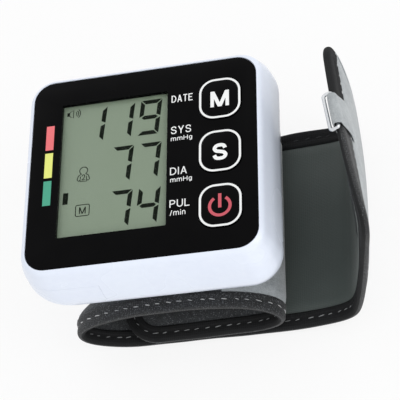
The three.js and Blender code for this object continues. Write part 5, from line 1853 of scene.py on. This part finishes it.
    def stitches(self) -> None:
        """Fine stitches through the tape on both faces.

        Sines at uneven rates make each stitch a little longer, fuller or more askew than the next.
        """
        draft = Draft()
        share = np.array([0.0, 0.14, 0.4, 0.7, 0.9, 1.0])
        thick = np.array([0.045, 0.09, 0.12, 0.115, 0.09, 0.045])
        lift = np.array([-0.2, -0.03, 0.05, 0.05, -0.04, -0.2])
        spin = np.linspace(0, 2 * pi, 7)[:-1]
        for side, thread, line in self.seam_lines():
            run = running_length(line)
            count = max(int(run[-1] / (self.stitch + self.stitch_gap)), 1)
            pitch = run[-1] / count
            for k in range(count):
                long = self.stitch * (1 + 0.16 * sin(k * 1.7 + side) + 0.08 * sin(k * 4.3))
                along = (k + 0.2) * pitch + 0.18 * sin(k * 2.39 + side) + share * long
                askew = (share - 0.5) * (0.3 + 0.14 * sin(k * 3.1))
                s = np.interp(along, run, line[:, 0])
                y = np.interp(along, run, line[:, 1])
                way = np.stack([np.gradient(s), np.gradient(y)], axis=1)
                way /= np.linalg.norm(way, axis=1, keepdims=True)
                inset = self.path.inset(s, y) - self.stitch_inset
                # The thread lies in the tape's groove, and higher where the run turns into the band.
                over = 1.04 + 0.22 * np.clip(inset / 1.3, 0, 1)
                full = 1 + 0.25 * sin(k * 5.3 + 1)
                rings = []
                for j in range(len(share)):
                    a = thick[j] * full * np.cos(spin) * 1.15 + askew[j]
                    h = side * (over[j] + lift[j] + thick[j] * full * np.sin(spin))
                    rings.append(self.path.place(s[j] - way[j, 1] * a, y[j] + way[j, 0] * a, h))
                draft.loft(rings, mark=thread)
        stitches = draft.build("edge_stitches", [WHITE_THREAD, GREY_THREAD, BLACK_THREAD], 80)
        self.fold_over(stitches, "clear_silicone")

    def hook_patch(self) -> None:
        """Hook patch on the flap's wrist side, with rows of small hooks."""
        end = self.path.length - self.patch_start
        start, half = end - self.patch_length, self.patch_width / 2

        def hooks(s: Array, y: Array) -> Array:
            """The hooks' outer face, rounded down at the patch's edge."""
            return -self.face - 0.1 - 0.45 * ease(edge_distance(s, y, start, end, half) / 0.5)

        rows = np.linspace(-half, half, 25)
        back = np.full(len(rows), -self.face + 0.25)
        stations = [start, start + 0.25, *np.linspace(start + 0.6, end - 0.6, 14), end - 0.25, end]
        strips = [self.path.around(s, rows, back, hooks(np.full(len(rows), s), rows)) for s in stations]
        patch = skin(*zip(*strips)).build("hook_tape_patch", [HOOK_TAPE], 60)
        settle(patch, "tail_flap", "dark_tape", "hook_patch")

    def build(self) -> None:
        """Builds the cuff's pieces; those that others rest on come first."""
        self.core()
        self.tape()
        self.cover()
        self.lining()
        self.pad()
        self.bladder()
        self.stitches()
        self.hook_patch()


@dataclass
class PullTab:
    """Tab over the flap's free edge and the wire ring that it holds."""

    path: BandPath
    middle: float = 5.6
    width: float = 10.6
    thick: float = 0.62
    reach: float = 0.9
    outer_leg: float = 8.5
    inner_leg: float = 3.8
    ring_length: float = 13.2
    ring_spacing: float = 2.4
    wire: float = 0.5
    ring_corner: float = 0.8
    ring_lean: float = 104.0

    def tab(self) -> None:
        """The plush tab, folded round the ring's bar."""
        # Over the tape's outer face, the tab's middle stands half its thickness off.
        over = 1.36 + 0.34
        bar = self.wire + 0.35 + self.thick / 2
        bend = [(-self.reach - bar * sin(a), bar * cos(a)) for a in np.linspace(0, pi, 9)]
        knots = [(self.outer_leg, 1.42), (6.8, 1.66), (4.6, over + 0.1), (2.5, over), (0.6, 1.42), *bend]
        knots += [(0.6, -1.35), (2.2, -1.45), (self.inner_leg, -1.5)]
        line = smooth_curve(np.array(knots), 3)
        slope = np.gradient(line, axis=0)
        slope /= np.linalg.norm(slope, axis=1, keepdims=True)
        run = running_length(line)
        rows = np.linspace(-1, 1, 15)
        rings, cloth = [], []
        for k, ((d, h), (sd, sh)) in enumerate(zip(line, slope)):
            ends = min(run[k], run[-1] - run[k])
            thick = self.thick * (0.35 + 0.65 * float(ease(ends / 1.2)))
            side = thick / 2 * np.sqrt(np.clip(1 - np.abs(rows) ** 6, 0.05, 1))
            spread = self.width / 2 * (1 - 0.05 * exp(-((d + 1) ** 2) / 4))
            y = self.middle + rows * spread
            faces = [(d - sh * side * w, h + sd * side * w, y) for w in (1, -1)]
            ds, hs, ys = (np.concatenate([one, other[::-1]]) for one, other in zip(*faces))
            rings.append(self.path.place(self.path.length - ds, ys, hs))
            cloth.append(np.stack([np.full(len(ys), run[k]), ys, hs], axis=1))
        tab = skin(rings, cloth).build("plush_tab", [GREY_PLUSH], 60)
        settle(tab, "tail_flap", "grey_plush", "end_tab")

    def ring(self) -> None:
        """The wire ring, bent from round wire, with one bar in the tab."""
        end = self.path.length
        bar, hold = self.path.place([end + self.reach, end], self.middle, 0)
        half = self.path.width / 2
        near, far = self.path.place(end, [-half, half], 0)
        along = Vector(far - near).normalized()
        side = along.cross(Vector(bar - hold)).normalized()
        turned = Matrix((along, side.cross(along), side)).transposed()
        turned @= Matrix.Rotation(-radians(self.ring_lean), 3, "X")
        size = (self.ring_length / 2 - self.wire, self.ring_spacing / 2)
        path = rounded_rectangle(size, self.ring_corner, (0, self.ring_spacing / 2), 8)
        rings = []
        for k, (x, y) in enumerate(path):
            before, after = path[k - 1], path[(k + 1) % len(path)]
            way = Vector((after[0] - before[0], after[1] - before[1])).normalized()
            ring = []
            for a in np.linspace(0, 2 * pi, 14, endpoint=False):
                r = self.wire * cos(a)
                spot = Vector((x + way.y * r, y - way.x * r, self.wire * sin(a)))
                ring.append(tuple(turned @ spot + Vector(bar)))
            rings.append(ring)
        ring = skin(rings, closed=True).build("wire_ring", [PLATED_STEEL], 60)
        settle(ring, "pull_ring", "steel", "metal_ring")

    def build(self) -> None:
        """Builds the ring, then the tab round it."""
        self.ring()
        self.tab()


# Studio


@dataclass
class Studio:
    """Floor, lamps, pale surroundings and the camera."""

    eye: Point3 = (101.7, -205.3, 380.5)
    right: Point3 = (0.9684, 0.0028, -0.2493)
    up: Point3 = (0.1197, 0.8718, 0.4751)
    back: Point3 = (0.2187, -0.4899, 0.8439)
    lens: float = 133.0
    sensor: float = 36.0
    ambient: float = 0.9
    # Each lamp's name, place, side, power in watts and whether it is seen in reflections.
    lamps: tuple[tuple[str, Point3, float, float, bool], ...] = (
        ("key", (560, -110, 540), 420, 1.1, True),
        ("fill", (470, -500, 230), 500, 0.3, False),
    )
    aim: Point3 = (8.0, 0.0, 30.0)
    # The floor's half size and how far it lies under the rest surface, in metres, its grey where light
    # falls on it, and its share of plain white where it is seen.
    floor_reach: float = 4.0
    floor_drop: float = 2e-5
    floor_grey: float = 0.9
    floor_glow: float = 0.84

    def camera(self) -> None:
        """The camera, at the photograph's place and angle."""
        lens = bpy.data.cameras.new("camera")
        lens.lens, lens.sensor_width, lens.sensor_fit = self.lens, self.sensor, "AUTO"
        lens.clip_start, lens.clip_end = 0.01, 20
        eye = add_object("camera", lens)
        turned = Matrix((self.right, self.up, self.back)).transposed().to_4x4()
        eye.matrix_world = Matrix.Translation(Vector(self.eye) * MM) @ turned
        bpy.context.scene.camera = eye

    def seen(self, tree: Tree) -> Socket:
        """Tells the rays that see the surroundings from those that light.

        Args:
            tree: The world's node tree.

        Returns:
            A socket that is 1 for rays that see the surroundings.
        """
        rays = add_node(tree, "LightPath")
        seen = rays["Is Camera Ray"]
        for name in ("Is Glossy Ray", "Is Transmission Ray"):
            seen = add_node(tree, "Math", {0: seen, 1: rays[name]}, operation="MAXIMUM")[0]
        return seen

    def surroundings(self) -> None:
        """A white world to look at, and an even pale light on the object."""
        world = bpy.data.worlds.new("surroundings")
        bpy.context.scene.world = world
        world.use_nodes = True
        tree = world.node_tree
        shade = tree.nodes["Background"]
        span = {"Value": self.seen(tree), "To Min": self.ambient, "To Max": 1.0}
        level = add_node(tree, "MapRange", span)[0]
        shade.inputs["Color"].default_value = (1, 1, 1, 1)
        tree.links.new(level, shade.inputs["Strength"])

    def floor(self) -> None:
        """A white floor that keeps a soft shadow."""
        mesh = bpy.data.meshes.new("floor")
        far, low = self.floor_reach, -self.floor_drop
        corners = [(x * far, y * far, low) for x, y in ((-1, -1), (1, -1), (1, 1), (-1, 1))]
        mesh.from_pydata(corners, [], [(0, 1, 2, 3)])
        floor = add_object("floor", mesh)
        material = bpy.data.materials.new("white_floor")
        material.use_nodes = True
        tree = material.node_tree
        tree.nodes.clear()
        grey, white = (self.floor_grey,) * 3 + (1,), (1, 1, 1, 1)
        diffuse = add_node(tree, "BsdfDiffuse", {"Color": grey})
        glow = add_node(tree, "Emission", {"Color": white, "Strength": 1.0})
        share = add_node(tree, "Math", {0: self.seen(tree), 1: self.floor_glow}, operation="MULTIPLY")[0]
        mixed = add_node(tree, "MixShader", {0: share, 1: diffuse[0], 2: glow[0]})
        add_node(tree, "OutputMaterial", {0: mixed[0]})
        mesh.materials.append(material)

    def lamp(self, name: str, place: Point3, size: float, power: float, reflected: bool) -> None:
        """A square lamp that faces the object.

        Args:
            name: The lamp's name.
            place: Where it hangs.
            size: Its side.
            power: Its power in watts.
            reflected: Whether it is seen in reflections.
        """
        light = bpy.data.lights.new(name, "AREA")
        light.shape, light.size, light.energy = "SQUARE", size * MM, power
        lamp = add_object(name, light)
        lamp.location = Vector(place) * MM
        aim = Vector(self.aim) * MM - lamp.location
        lamp.rotation_euler = aim.to_track_quat("-Z", "Y").to_euler()
        lamp.visible_glossy = reflected

    def build(self) -> None:
        """Sets up the studio."""
        self.camera()
        self.surroundings()
        self.floor()
        for lamp in self.lamps:
            self.lamp(*lamp)
        bpy.context.scene.view_settings.view_transform = "Standard"


def dress_nodes() -> None:
    """Gives the CAD nodes that stay in view their finishes."""
    for name, finish in NODE_FINISHES.items():
        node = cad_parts[name]
        for slot in node.material_slots:
            slot.material = finish.build()
        log.info("%s keeps its solid, as %s", name, finish.name)


def main() -> None:
    """Builds the monitor and its studio."""
    logging.basicConfig(level=logging.INFO, format="%(name)s: %(message)s")
    face, path = Face(), BandPath()
    for part in (Studio(), Housing(face), DisplayPanel(face), Buttons(face), Cuff(path), PullTab(path)):
        log.info("building %s", type(part).__name__)
        part.build()
    dress_nodes()


if __name__ == "__main__":
    main()
